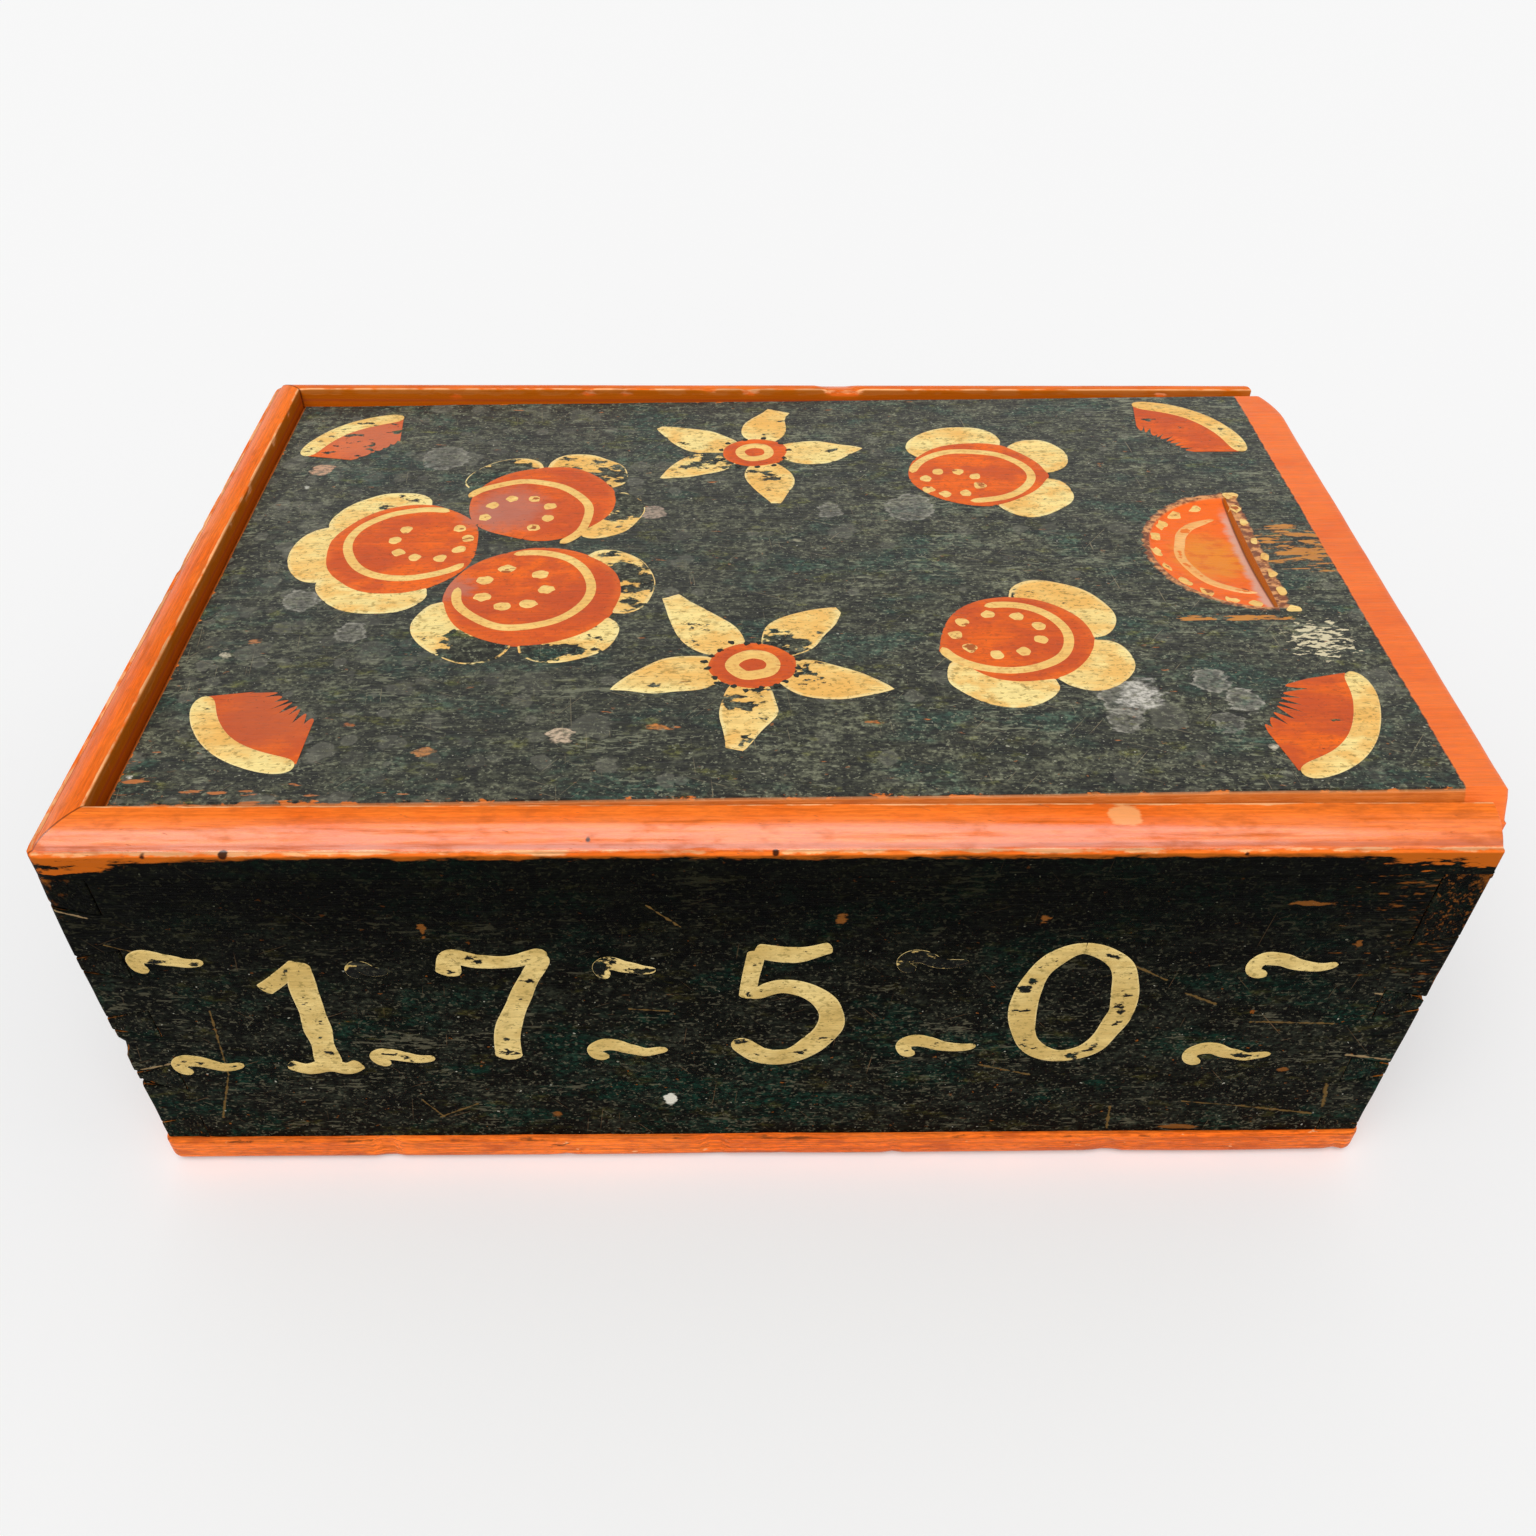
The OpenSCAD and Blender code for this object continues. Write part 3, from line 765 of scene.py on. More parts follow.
def rail(line, side_of, ends, notch, seed):
    """The moulding's section carried along a line of stations. side_of turns a station, a depth and a
    height into a place; ends gives each station's shrinking at a worn end; notch is the start, stop and
    depth of a dent in the upper edge. Waves and nicks draw points in against the section's own normal."""
    shape, rubbed, gloss = rail_profile()
    ahead = np.gradient(np.concatenate([shape[-1:], shape, shape[:1]]), axis=0)[1:-1]
    away = np.stack([-ahead[:, 1], ahead[:, 0]], 1) / np.linalg.norm(ahead, axis=1, keepdims=True)
    along = np.repeat(line[:, None], len(shape), axis=1)
    deep, tall = (np.tile(column, (len(line), 1)) for column in shape.T)
    flat = np.stack([along, deep, tall], -1)
    spread = (flat * (1, 1.6, 1.6)).reshape(-1, 3)
    nicks = np.clip(ripple(spread, 11, seed) - 0.75, 0, None).reshape(along.shape)
    waves = 0.5 + 0.5 * ripple(spread, 70, seed + 1).reshape(along.shape)
    loose = np.clip(shape[:, 1] / 4, 0, 1)
    drawn = loose * (0.1 * np.clip(waves, 0, None) + nicks * (0.08 + 0.4 * rubbed)) + ends[:, None]
    if notch:
        start, stop, deep = notch
        inside = np.clip(1 - np.abs(2 * (line - start) / (stop - start) - 1) ** 6, 0, 1)
        drawn += deep * inside[:, None] * np.clip((shape[:, 1] - ledge_height - 2) / 2.5, 0, 1)
    section = shape - drawn[:, :, None] * away
    section[:, :, 1] = np.clip(section[:, :, 1], 0.0, None)
    points = side_of(along, section[:, :, 0], section[:, :, 1]).reshape(-1, 3)
    number = np.arange(along.size).reshape(along.shape)
    loop = np.concatenate([number, number[:, :1]], axis=1)
    faces = quads(loop).tolist() + [number[0].tolist(), number[-1].tolist()]
    return points, faces, dict(rubbed=np.tile(rubbed, len(line)), gloss=np.tile(gloss, len(line)))


def stations(low, high):
    """Places along a rail, two millimetres apart."""
    return np.linspace(low, high, int((high - low) / 2) + 1)


def rounded_case_corner(points):
    """Rounds the rails' outer upright corners at the left, where two rails meet in a mitre."""
    plan = points.reshape(-1, 3)[:, :2].copy()
    moved = round_corners(plan, wall_high[:2], rail_corner, np.zeros(len(plan)))
    plan = np.where(plan[:, :1] < 0, moved, plan)
    return np.concatenate([plan, points.reshape(-1, 3)[:, 2:]], axis=1).reshape(points.shape)


def along_x(side):
    """Places of the front (-1) or back (1) rail: stations run along X from the mitre to the right end."""
    def placed(along, depth, height):
        free = (along - wall_low[0]) / (wall_high[0] - wall_low[0])
        x = along + (depth + mitre_gap) * (1 - free)
        points = np.stack([x, side * (wall_high[1] - depth), wall_high[2] + height], axis=-1)
        return rounded_case_corner(points)
    return placed


def along_y(along, depth, height):
    """Places of the left rail: stations run along Y between the two mitres."""
    share = along / wall_high[1]
    y = along - share * (depth + mitre_gap)
    points = np.stack([wall_low[0] + depth, y, wall_high[2] + height], axis=-1)
    return rounded_case_corner(points)


# Open holes along the front rail: the middle of each mouth and its radius.
open_holes = ((-147, -117.0, 129.4, 0.7), (-128.3, -116.9, 129.6, 1.15), (-42.8, -114.4, 131.8, 0.65),
              (1.5, -116.8, 129.7, 0.9), (113.3, -117.2, 129.2, 0.55))


def rail_edges(place, grain, colour, streaks, fray):
    """Lays over a rail's paint: brown painted shade below the ledge, the wall's dark paint ragged along the
    lower outer edge, with brown painted shade where it begins, and worn off at the corners, bare wood
    in the lid's groove, brown painted shade on the inner face beside the lid, the dark line of the
    mitre, a pale patch on the front rail, and dirt along the ledge."""
    x, y, z = axes(place)
    ledge = wall_high[2] + ledge_height
    groove_top = wall_high[2] + rebate_tall
    inner_x, inner_y = wall_high[:2] - wall
    # Painted shade under the ledge: the outer face below it turns brown.
    under_ledge_shade = rise(streaks + z, ledge + 0.2, ledge - 0.4)
    colour = tinted(colour, under_ledge_shade, shade(176, 88, 14), 0.9)
    bare_corner = rise(corner_nearness(place), 130.0, 176.0)
    worn_off = cloud(grain, (9, 2.2, 2.2), 5.0, 34.0) * 26.0 - 9.0
    lap = bare_corner * worn_off + fray * 4.0 + z - 2.0
    outer = greater(rise(abs(y), wall_high[1] - 2.0, wall_high[1] - 1.2),
                    rise(x, wall_low[0] + 2.0, wall_low[0] + 1.2))
    # Painted shade in brown along the ragged line where the dark lap begins.
    lap_edge_shade = rise(lap, ledge - 0.4, ledge - 1.5) * outer
    colour = tinted(colour, lap_edge_shade, shade(112, 58, 10), 0.75)
    # The wall's dark paint laps up the lower outer edge and carries the walls' painted shade.
    dark = rise(lap, ledge - 1.2, ledge - 1.9) * outer
    colour = mixed(dark, colour, use(shaded_wall_ground, Place=grain, Edge=0.0)["Colour"])
    groove = rise(z, groove_top + 0.3, groove_top + 0.05) * (1.0 - outer)
    groove = groove * rise(x, wall_high[0] - 0.1, wall_high[0] - 0.7)
    colour = tinted(colour, groove, mixed(fray, shade(108, 74, 40), shade(170, 124, 76)), 0.95)
    # Painted shade: the rail's inner face above the lid is tinted brown.
    inner_face_shade = rise(x, -inner_x - 0.35, -inner_x - 0.1) * rise(abs(y), inner_y + 0.35, inner_y + 0.1)
    colour = tinted(colour, inner_face_shade, shade(184, 100, 10), 0.9)
    mitre = rise(abs(x + (wall_high[0] - wall_high[1]) + abs(y)), 0.6, 0.2)
    colour = tinted(colour, mitre, shade(104, 48, 18), 0.75)
    pale = spot_at(place, (85.2, -109.2, 0), 3.9, fray, 2.5, 0.5, (1, 1.25, 0))
    colour = tinted(colour, pale, shade(252, 186, 120), 0.6)
    dirt = rise(z, ledge + 0.1, ledge + 0.4) * rise(z, ledge + 1.5, ledge + 0.8)
    return tinted(colour, dirt, shade(168, 76, 40), 0.55)


def rail_material(name, across, shine):
    """Orange-red paint, dull on top and glossy on the steep part of the thumb, with brown streaks and
    scratches, rubbed pale along the arrises, which is worn paint and partly a painted highlight. Its
    edges have their own colours, and the beetle and nail holes along the front are dark."""
    material, shader, place = begin(name)
    grain = turned(place, "Z", 90) if across else place
    # The pale bare colour shows on the rubbed arrises: worn paint, and also a painted highlight along the
    # ledge and the inner arris.
    coat = use(old_paint, Place=grain, Paint=shade(248, 122, 42), Faded=shade(240, 108, 32),
               Bare=shade(252, 180, 122), Edge=mark(place, "rubbed"), Rub=0.56, Chips=0.12, Bristle=0.2)
    streaks = cloud(grain, (30, 1.6, 1.6), 5.0, 41.0)
    colour = tinted(coat["Colour"], rise(streaks, 0.56, 0.72), shade(190, 84, 22), 0.55)
    soiled = rise(cloud(grain, (9, 4, 4), 5.0, 52.0), 0.5, 0.72)
    colour = tinted(colour, soiled, shade(186, 90, 38), 0.5)
    scratches = rise(cloud(turned(grain, "Z", 14), (4, 0.5, 0.5), 2.0, 29.0), 0.68, 0.74)
    colour = tinted(colour, scratches, shade(142, 82, 60), 0.5)
    fray = cloud(grain, (7, 1.6, 1.6), 5.0, 18.0)
    colour = rail_edges(place, grain, colour, streaks, fray)
    for *middle, radius in open_holes:
        hole = spot_at(place, middle, radius, fray, 0.5, 0.25, (1, 1, 1))
        colour = tinted(colour, hole, shade(44, 20, 10), 0.95)
    sheen = mark(place, "gloss") * rise(streaks, 0.78, 0.42) * (1.0 - soiled * 0.55) * shine
    feed(shader.inputs["Coat Weight"], sheen - scratches * 0.5)
    shader.inputs["Coat Roughness"].default_value = 0.16
    shader.inputs["Coat IOR"].default_value = 1.75
    coated(shader, colour, coat["Roughness"] + 0.4, dull_sheen, coat["Height"], 0.08)
    return material


end_wear = 0.55


def worn_end(line, end):
    """How far each station is drawn in near a worn end: a quarter circle over the last stretch."""
    near = np.clip(1 - np.abs(line - end) / end_wear, 0, 1)
    return end_wear * (1 - np.sqrt(1 - near ** 2))


long_rail_paint = rail_material("rail_orange", False, 0.9)
for name, side, notch, seed in (("front_rail", -1, None, 21), ("back_rail", 1, (17.5, 30.5, 1.0), 31)):
    line = stations(wall_low[0], wall_high[0])
    close = wall_high[0] - np.array([end_wear, 0.4, 0.25, 0.12, 0.04])
    line = np.unique(np.concatenate([line, close]).round(3))
    points, faces, marks = rail(line, along_x(side), worn_end(line, wall_high[0]), notch, seed)
    piece = make(name.replace("rail", "moulding"), points, faces, long_rail_paint, **marks)
    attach(piece, "case")
    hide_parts(name)

line = stations(wall_low[1], wall_high[1])
points, faces, marks = rail(line, along_y, np.zeros(len(line)), None, 41)
piece = make("left_moulding", points, faces, rail_material("left_rail_orange", True, 0.25), **marks)
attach(piece, "case")
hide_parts("left_rail")


# Sprigs: headless iron nails driven slantwise through the ledge of each rail, sunk below its face and
# painted over.
for node in ("front_rail_sprigs", "back_rail_sprigs", "left_rail_sprigs"):
    finish_node(node, rusted_iron)


# Lid: one softwood board that slides in the rails. A thin tongue runs round three edges, a bevel rises
# from it to the flat field, and the field climbs a little to the free end, which has a round nose.
# A half-moon thumb pull is cut near that end. It is painted green-black with an orange end.
lid_low, lid_high = span("lid")
tongue_top = 127.3
field_left = -160.7
field_half = 101.0
field_height = 130.8
field_tilt = 0.01361
tilt_from = lid_low[0] + 5.7
bevel_slope = 1.95
left_bevel_slope = 1.75
lid_nose = 2.5
lid_pitch, pull_pitch = 3.4, 0.5
rail_cover = 6.0
lid_lift = 0.02
lid_end_corner = 36.0
corner_straight = 85.0
pull_centre = np.array([146.0, 4.0])
pull_radius = 29.6
pull_deep = 2.9
pull_rim = 0.9


def lid_end(y):
    """Where the free end lies: straight, then an arc at the back corner that meets the back bevel."""
    past = np.clip(y - corner_straight, 0, lid_end_corner)
    return lid_high[0] - lid_end_corner + np.sqrt(lid_end_corner ** 2 - past ** 2)


def soft_least(first, second, soft=0.5):
    """The lesser of two heights, with the arris where they cross rubbed round."""
    near = np.clip(soft - np.abs(first - second), 0, None) / soft
    return np.minimum(first, second) - near ** 2 * soft / 4


def pull_depth(x, y):
    """Depth of the thumb pull: a dished floor inside a half circle, deepest at the middle of the
    straight wall, with a soft rim on the round side."""
    away = np.hypot(x - pull_centre[0], y - pull_centre[1])
    dish = pull_rim + (pull_deep - pull_rim) * (1 - np.clip(away / pull_radius, 0, 1) ** 2)
    rim = np.clip((pull_radius + 0.5 - away) / 1.8, 0, 1)
    wall = np.clip((pull_centre[0] + 0.12 - x) / 0.24, 0, 1)
    return dish * rim ** 2 * (3 - 2 * rim) * wall


def lid_top(x, y):
    """Height of the lid's upper face: the sloping field, a little hollow from planing, met by three
    bevels and the nose, down to the tongue, less the thumb pull."""
    flat = np.stack([np.ravel(x), np.ravel(y)], 1)
    planed = -0.14 - 0.1 * ripple(flat * (0.35, 1), 34, 61) - 0.05 * ripple(flat * (0.5, 1), 12, 62)
    field = field_height + field_tilt * (x - tilt_from) + planed.reshape(np.shape(x))
    sides = field - bevel_slope * (np.abs(y) - field_half)
    inner = field - left_bevel_slope * (field_left - x)
    top = soft_least(soft_least(field, sides, 0.7), inner, 0.7)
    past = np.clip(x - lid_end(y) + lid_nose, 0, lid_nose)
    top = top - lid_nose + np.sqrt(lid_nose ** 2 - past ** 2)
    return np.maximum(top, tongue_top - 0.3) - pull_depth(x, y)


def lid_mesh():
    """Two shells: the tongue, a thin worn plank, and the raised field, a box lattice whose upper face
    takes the height above and whose end follows the outline. The lattice is fine round the pull."""
    tongue = board((lid_low[0], lid_low[1], lid_low[2]), (wall_high[0], lid_high[1], tongue_top), 81, 0.5)
    left = field_left - (field_height - tongue_top) / left_bevel_slope - 0.4
    fine_x = np.arange(pull_centre[0] - pull_radius - 3, pull_centre[0] - 0.3, pull_pitch)
    lip_x = pull_centre[0] + np.array([-0.3, -0.12, 0.0, 0.12, 0.3, 0.8])
    xs = np.concatenate([graded(left, lid_high[0], lid_pitch, 5.0), fine_x, lip_x])
    fine_y = np.arange(pull_centre[1] - pull_radius - 2, pull_centre[1] + pull_radius + 2, pull_pitch)
    half = field_half + (lid_high[2] - tongue_top) / bevel_slope
    ys = np.concatenate([graded(-half, half, lid_pitch, 6.0), fine_y])
    points, faces = skin(np.unique(xs.round(3)), np.unique(ys.round(3)), np.linspace(0, 1, 5))
    x, y, up = points.T
    y = np.clip(y, lid_low[1] + rail_cover, lid_high[1] - rail_cover)
    x = np.where(x > corner_straight, x + (lid_end(y) - lid_high[0]) * (x - corner_straight)
                 / (lid_high[0] - corner_straight), x)
    bottom = lid_low[2] + lid_lift
    raised = np.stack([x, y, bottom + up * (lid_top(x, y) - bottom)], 1)
    return joined([tongue, (raised, faces, np.zeros(len(raised)))])[:2]


def stain_group():
    """Round grey water marks: in each cell of a scattered pattern one spot of a size of its own, with
    a wavering outline and a slightly paler rim. Gives the spot's mask."""
    tree, take, give = new_group(
        "round water marks", {"Place": "Vector", "Size": "Float", "Share": "Float"}, {"Spot": "Float"})
    cells = new_node("TexVoronoi", take["Place"])
    cells.voronoi_dimensions = "2D"
    cells.inputs["Scale"].default_value = 1.0
    feed(cells.inputs["Vector"], vectors("DIVIDE", take["Place"], take["Size"]))
    chance = axes(Wire(cells.outputs["Color"]))
    radius = chance[0] * 0.26 + 0.1
    wobble = cloud(take["Place"], (5, 4, 4), 4.0) * 0.5 - 0.25
    gap = Wire(cells.outputs["Distance"]) + wobble - radius
    spot = rise(gap, 0.04, -0.04)
    rim = rise(gap, -0.16, -0.02) * 0.35 + 0.65
    kept = reckon("LESS_THAN", chance[1], take["Share"])
    faint = chance[2] * 0.7 + 0.3
    feed(give["Spot"], kept * faint * spot * rim)
    return tree


water_marks = stain_group()
lid_ground = dark_ground_group("lid ground", "Z", None, shade(40, 41, 31), shade(24, 56, 46),
                               shade(74, 74, 30), shade(76, 77, 61), shade(156, 158, 130),
                               shade(150, 96, 52))


def pull_paint(place, colour, fray):
    """Lays the thumb pull's paint over a colour: an orange bowl that is yellower in the middle and rubbed
    whitish beside its straight wall, a brown band round the curved rim and along the straight edge,
    and the wall itself brown with a dark line at its foot."""
    x, y = axes(place)[:2]
    middle = (*pull_centre, 0)
    chord, mid = pull_centre
    before = rise(x, chord + 0.2, chord + 0.1)
    band = spot_at(place, middle, pull_radius + 1.8, fray, 2.4, 0.4)
    edge = rise(fray * 3.0 + x, chord + 5.6, chord + 4.8) * rise(x, chord, chord + 0.1)
    edge = edge * rise(abs(y - mid), pull_radius + 1.0, pull_radius)
    band = greater(band * before, edge)
    mottle = rise(cloud(place, (2.6, 1.7, 1.7), 4.0, 14.0), 0.42, 0.62)
    colour = tinted(colour, band, mixed(mottle, shade(132, 68, 36), shade(238, 166, 104)), 0.9)
    bowl = spot_at(place, middle, pull_radius - 0.2, 0.5, 0.0, 0.4) * before
    heart = spot_at(place, (chord - 11, mid - 1, 0), 11.0, fray, 8.0, 5.0)
    paint = mixed(heart, shade(252, 110, 22), shade(240, 140, 38))
    stroked = rise(cloud(place, (5, 3, 3), 5.0, 24.0), 0.5, 0.64)
    paint = tinted(paint, stroked, shade(226, 96, 24), 0.6)
    rubbed = rise(fray * 5.0 + x, chord - 1.4, chord + 1.0) * rise(y, mid + 27, mid + 17)
    paint = tinted(paint, rubbed, shade(222, 180, 160), 0.85)
    paint = tinted(paint, rise(x, chord - 0.9, chord - 0.35), shade(120, 60, 22), 0.85)
    colour = mixed(bowl, colour, paint)
    bruise = spot_at(place, (chord - 6.0, mid - 19, 0), 1.5, fray, 2.0, 0.5)
    colour = tinted(colour, bruise, shade(110, 40, 24), 0.8)
    wall_face = rise(x, chord - 0.16, chord - 0.1) * before * bowl
    return tinted(colour, wall_face, shade(208, 120, 24), 0.95)


# Marks on the lid. A water spot is its middle, radius and strength; a fleck is its middle, radius, the
# factor on distances along the grain, which draws it out where it is under 1, and its tint.
water_spots = (
    (-105, 63.5, 7.5, 0.5), (46, 29.6, 7.5, 0.6), (94.5, -65.5, 7.0, 0.7), (92.5, -74, 4.8, 0.65),
    (125, -67, 5.0, 0.8), (118.5, -58.5, 5, 0.7), (119, -75.5, 4, 0.4), (20.6, 28.4, 4, 0.5),
    (-134, -16.7, 5, 0.6), (-116, -32.4, 4.5, 0.6), (-113, 34.3, 4.5, 0.5), (60, -59, 3.0, 0.4),
)
flecks = (
    (-35.5, 28.5, 4.4, 0.9, shade(172, 150, 132)), (-145, 56.6, 3.6, 0.9, shade(204, 160, 128)),
    (-53, -77.4, 3.4, 1.0, shade(206, 182, 154)), (-86.5, -83.3, 1.7, 0.6, shade(184, 124, 72)),
    (-27, -75, 1.2, 0.4, shade(200, 126, 60)),
    (-109, -71.6, 1.1, 0.8, shade(164, 94, 44)), (-158, -91.6, 1.2, 1.0, shade(226, 222, 206)),
    (-149, -42, 1.9, 0.9, shade(196, 186, 160)), (-142, -36, 1.4, 1.0, shade(176, 116, 70)),
    (-147, 46, 1.0, 1.0, shade(230, 228, 214)), (127.7, -85.5, 1.3, 1.0, shade(204, 196, 172)),
    (28, -74, 1.0, 0.5, shade(190, 112, 50)), (10, 12, 1.1, 0.7, shade(150, 146, 120)),
)


def lid_marks(place, colour, fray):
    """Lays round water marks over a colour, crowded towards the left, then single water spots with paler
    rims, flecks of dirt and spilt paint, and a whitish bloom."""
    left_share = rise(axes(place)[0], 0.0, -130.0) * 0.5 + 0.1
    for size, shift in ((15.0, 0.0), (8.0, 40.0)):
        moved = vectors("ADD", place, (shift, 0.6 * shift, 0))
        marks = use(water_marks, Place=moved, Size=size, Share=left_share)["Spot"]
        colour = tinted(colour, marks, shade(128, 126, 112), 0.4)
    speckled = rise(cloud(place, (1.6, 1.1, 1.1), 3.0, 13.0), 0.36, 0.64) * 0.9 + 0.3
    for x_mm, y_mm, radius, amount in water_spots:
        spot = spot_at(place, (x_mm, y_mm, 0), radius, fray, 3.6, 0.25)
        middle = spot_at(place, (x_mm, y_mm, 0), radius - 0.9, fray, 3.6, 0.4)
        colour = tinted(colour, spot * (1.0 - middle * 0.55) * speckled, shade(172, 168, 154), amount)
    for x_mm, y_mm, radius, long, tint in flecks:
        fleck = spot_at(place, (x_mm, y_mm, 0), radius, fray, 3.4, 0.3, (long, 1.2, 0))
        colour = tinted(colour, fleck * speckled, tint, 0.95)
    bloom = spot_at(place, (98, -64, 0), 5.0, fray, 12.0, 2.5) * speckled
    return tinted(colour, bloom, shade(226, 220, 208), 0.7)


def scraped_bare(place, fray):
    """Where the lid's paint is scraped off by the thumb pull: flat patches along the grain between it and
    the end strip, and a line in front of it."""
    x, y = axes(place)[:2]
    flat = fray + cloud(place, (13, 1.3, 1.3), 4.0, 71.0)
    handled = spot_at(place, (160, 6, 0), 14.0, fray, 6.0, 8.0, (1, 0.8, 0))
    front_scrape = rise(abs(y + 30.4), 2.6, 0.8) * rise(x, 108, 122) * rise(x, 156, 146)
    limit = 1.44 - greater(handled, front_scrape * 1.15) * 0.46
    return rise(flat, limit, limit + 0.05)


def lid_border(place, colour, fray):
    """Lays orange paint over a colour on the bevels and the end strip, with frayed edges, rubbed through
    in the front left corner and pale along the arris of the bevels: worn paint with a painted highlight."""
    x, y = axes(place)[:2]
    rim = greater(abs(y) - field_half, field_left - x)
    corner = rise(x, -40.0, -150.0) * rise(y, -60.0, -100.0)
    frayed = fray * 9.0 + corner * 0.9 + rim
    frayed = greater(rise(frayed, 5.1, 5.6), rise(rim, 0.1, 0.4))
    colour = tinted(colour, frayed, mixed(fray, shade(186, 82, 10), shade(250, 140, 50)), 0.95)
    rubbed = corner * rise(rim, -15.0, -3.0) * 0.12 + cloud(place, (10, 2.2, 2.2), 5.0, 45.0)
    colour = tinted(colour, rise(rubbed, 0.69, 0.74), shade(206, 122, 62), 0.8)
    # Painted highlight: a pale line along the arris of the bevels.
    arris_highlight = rise(abs(rim - 0.2), 0.35, 0.1)
    colour = tinted(colour, arris_highlight, shade(252, 160, 92), 0.5)
    orange = use(old_paint, Place=place, Paint=shade(250, 120, 44), Faded=shade(240, 106, 36),
                 Bare=shade(196, 100, 34), Edge=0.0, Rub=0.0, Chips=0.12, Bristle=0.09)
    strip = rise(fray * 1.2 + y * 0.013 + x, 169.0, 169.5)
    return mixed(strip, colour, orange["Colour"])


def lid_material():
    """The dark ground, darkened over the left as painted shade, with its marks, brown scrapes by the thumb
    pull and pale powdery wear beside it. The border and the thumb pull are orange, and the underside is
    bare wood."""
    material, shader, place = begin("lid_green_black")
    ground = use(lid_ground, Place=place, Edge=0.0)
    fray = cloud(place, (6, 2.6, 2.6), 5.0, 61.0)
    # Painted shade: the ground darkens over a broad patch in the left half of the lid.
    deep = spot_at(place, (-75, -20, 0), 75.0, fray, 20.0, 55.0)
    colour = lid_marks(place, tinted(ground["Colour"], deep, shade(22, 25, 18), 0.3), fray)
    scraped = scraped_bare(place, fray)
    colour = tinted(colour, scraped, mixed(fray, shade(190, 110, 36), shade(216, 150, 66)), 0.95)
    powdery = spot_at(place, (153, -41, 0), 9.0, fray, 6.0, 7.0)
    powder = powdery * 0.24 + cloud(place, (3.2, 1.1, 1.1), 3.0, 81.0)
    powder = rise(powder, 0.7, 0.74) * rise(powdery, 0.0, 0.2)
    colour = tinted(colour, powder, shade(238, 224, 184), 0.85)
    colour = pull_paint(place, lid_border(place, colour, fray), fray)
    wood = use(bare_wood, Place=place, **inside_wood)
    under = rise(axes(place)[2], lid_low[2] + 0.5, lid_low[2] + 0.2)
    coated(shader, mixed(under, colour, wood["Colour"]), ground["Roughness"] + 0.3, 0.24,
           ground["Height"] - scraped * 0.4, 0.16)
    return material


points, faces = lid_mesh()
lid = make("sliding_lid", points, faces.tolist(), lid_material())
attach(lid, "lid")
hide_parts("lid")


# Painted ornament on the lid: traditional fruits with three leaves, star flowers and corner fans, laid
# on freehand in cream and orange-red oil paint. Each dab is a thin film that stands a little proud.
def on_lid(plan, height):
    """Lifts a plan on the lid to its upper face, plus the film's height."""
    return np.concatenate([plan, (lid_top(plan[..., 0], plan[..., 1]) + height)[..., None]], axis=-1)


def dab(centre, rim, thick, lift, wear=0.0, lean=(0.0, 0.0)):
    """A dab of paint inside a rim of points round its centre: rings drawn in from the rim to the
    centre, full inside and thin at the rim, closed by a second sheet just under the surface. Its wear
    grows along lean, by the length of lean from the centre to the furthest point of the rim."""
    share = np.array([0.3, 0.6, 0.8, 0.92, 0.98, 1.0, 1.0, 0.5])[:, None, None]
    rises = thick * np.array([1.0, 1.0, 1.0, 0.95, 0.7, 0.2, -1.0, -1.0])
    count = len(rim)
    plan = centre + share * (rim - centre)
    reach = np.linalg.norm(rim - centre, axis=1).max()
    worn_by = wear + (plan - centre) @ np.array(lean) / reach
    rings = lift(plan, np.broadcast_to(rises[:, None], plan.shape[:2])).reshape(-1, 3)
    poles = lift(np.array([centre, centre], float), thick * np.array([1.0, -1.0]))
    number = np.arange(len(share) * count).reshape(len(share), count)
    loop = np.concatenate([number, number[:, :1]], axis=1)
    top = np.stack([np.full(count, len(rings)), loop[0, :-1], loop[0, 1:]], 1)
    under = np.stack([np.full(count, len(rings) + 1), loop[-1, 1:], loop[-1, :-1]], 1)
    depth = np.concatenate([np.repeat(1 - share[:, 0, 0], count), [1.0, 1.0]])
    faces = quads(loop).tolist() + top.tolist() + under.tolist()
    return np.concatenate([rings, poles]), faces, depth, np.concatenate([worn_by.ravel(), [wear, wear]])


def stroke(path, half_width, thick, lift, wear=0.0, left=None):
    """A stroke of the brush: a flat oval section carried along a path of points, as wide as the brush
    was pressed at each. It lies square to the path, or along the given directions. Its wear is one
    number, or one for each point of the path."""
    if left is None:
        way = np.gradient(path, axis=0)
        way /= np.linalg.norm(way, axis=1, keepdims=True)
        left = np.stack([-way[:, 1], way[:, 0]], 1)
    across = np.array([-1.0, -0.9, -0.6, 0.0, 0.6, 0.9, 1.0, 1.0, 0.0, -1.0])
    rises = thick * np.array([0.1, 0.8, 1.0, 1.0, 1.0, 0.8, 0.1, -1.0, -1.0, -1.0])
    plan = path[:, None, :] + (half_width[:, None] * across)[:, :, None] * left[:, None, :]
    points = lift(plan, np.broadcast_to(rises, plan.shape[:2])).reshape(-1, 3)
    number = np.arange(len(points)).reshape(len(path), -1)
    faces = quads(np.concatenate([number, number[:, :1]], axis=1)).tolist()
    faces += [number[0].tolist(), number[-1].tolist()]
    depth = np.tile(1 - np.abs(across), len(path))
    return points, faces, depth, np.repeat(np.broadcast_to(wear, len(path)), len(across))


def pressed(count, width, blunt=0.12):
    """Half widths along a stroke: round at both ends, full between them."""
    along = np.linspace(0, 1, count)
    ends = np.clip(np.minimum(along, 1 - along) / blunt, 0.0004, 1)
    return 0.5 * width * np.sqrt(1 - (1 - ends) ** 2)


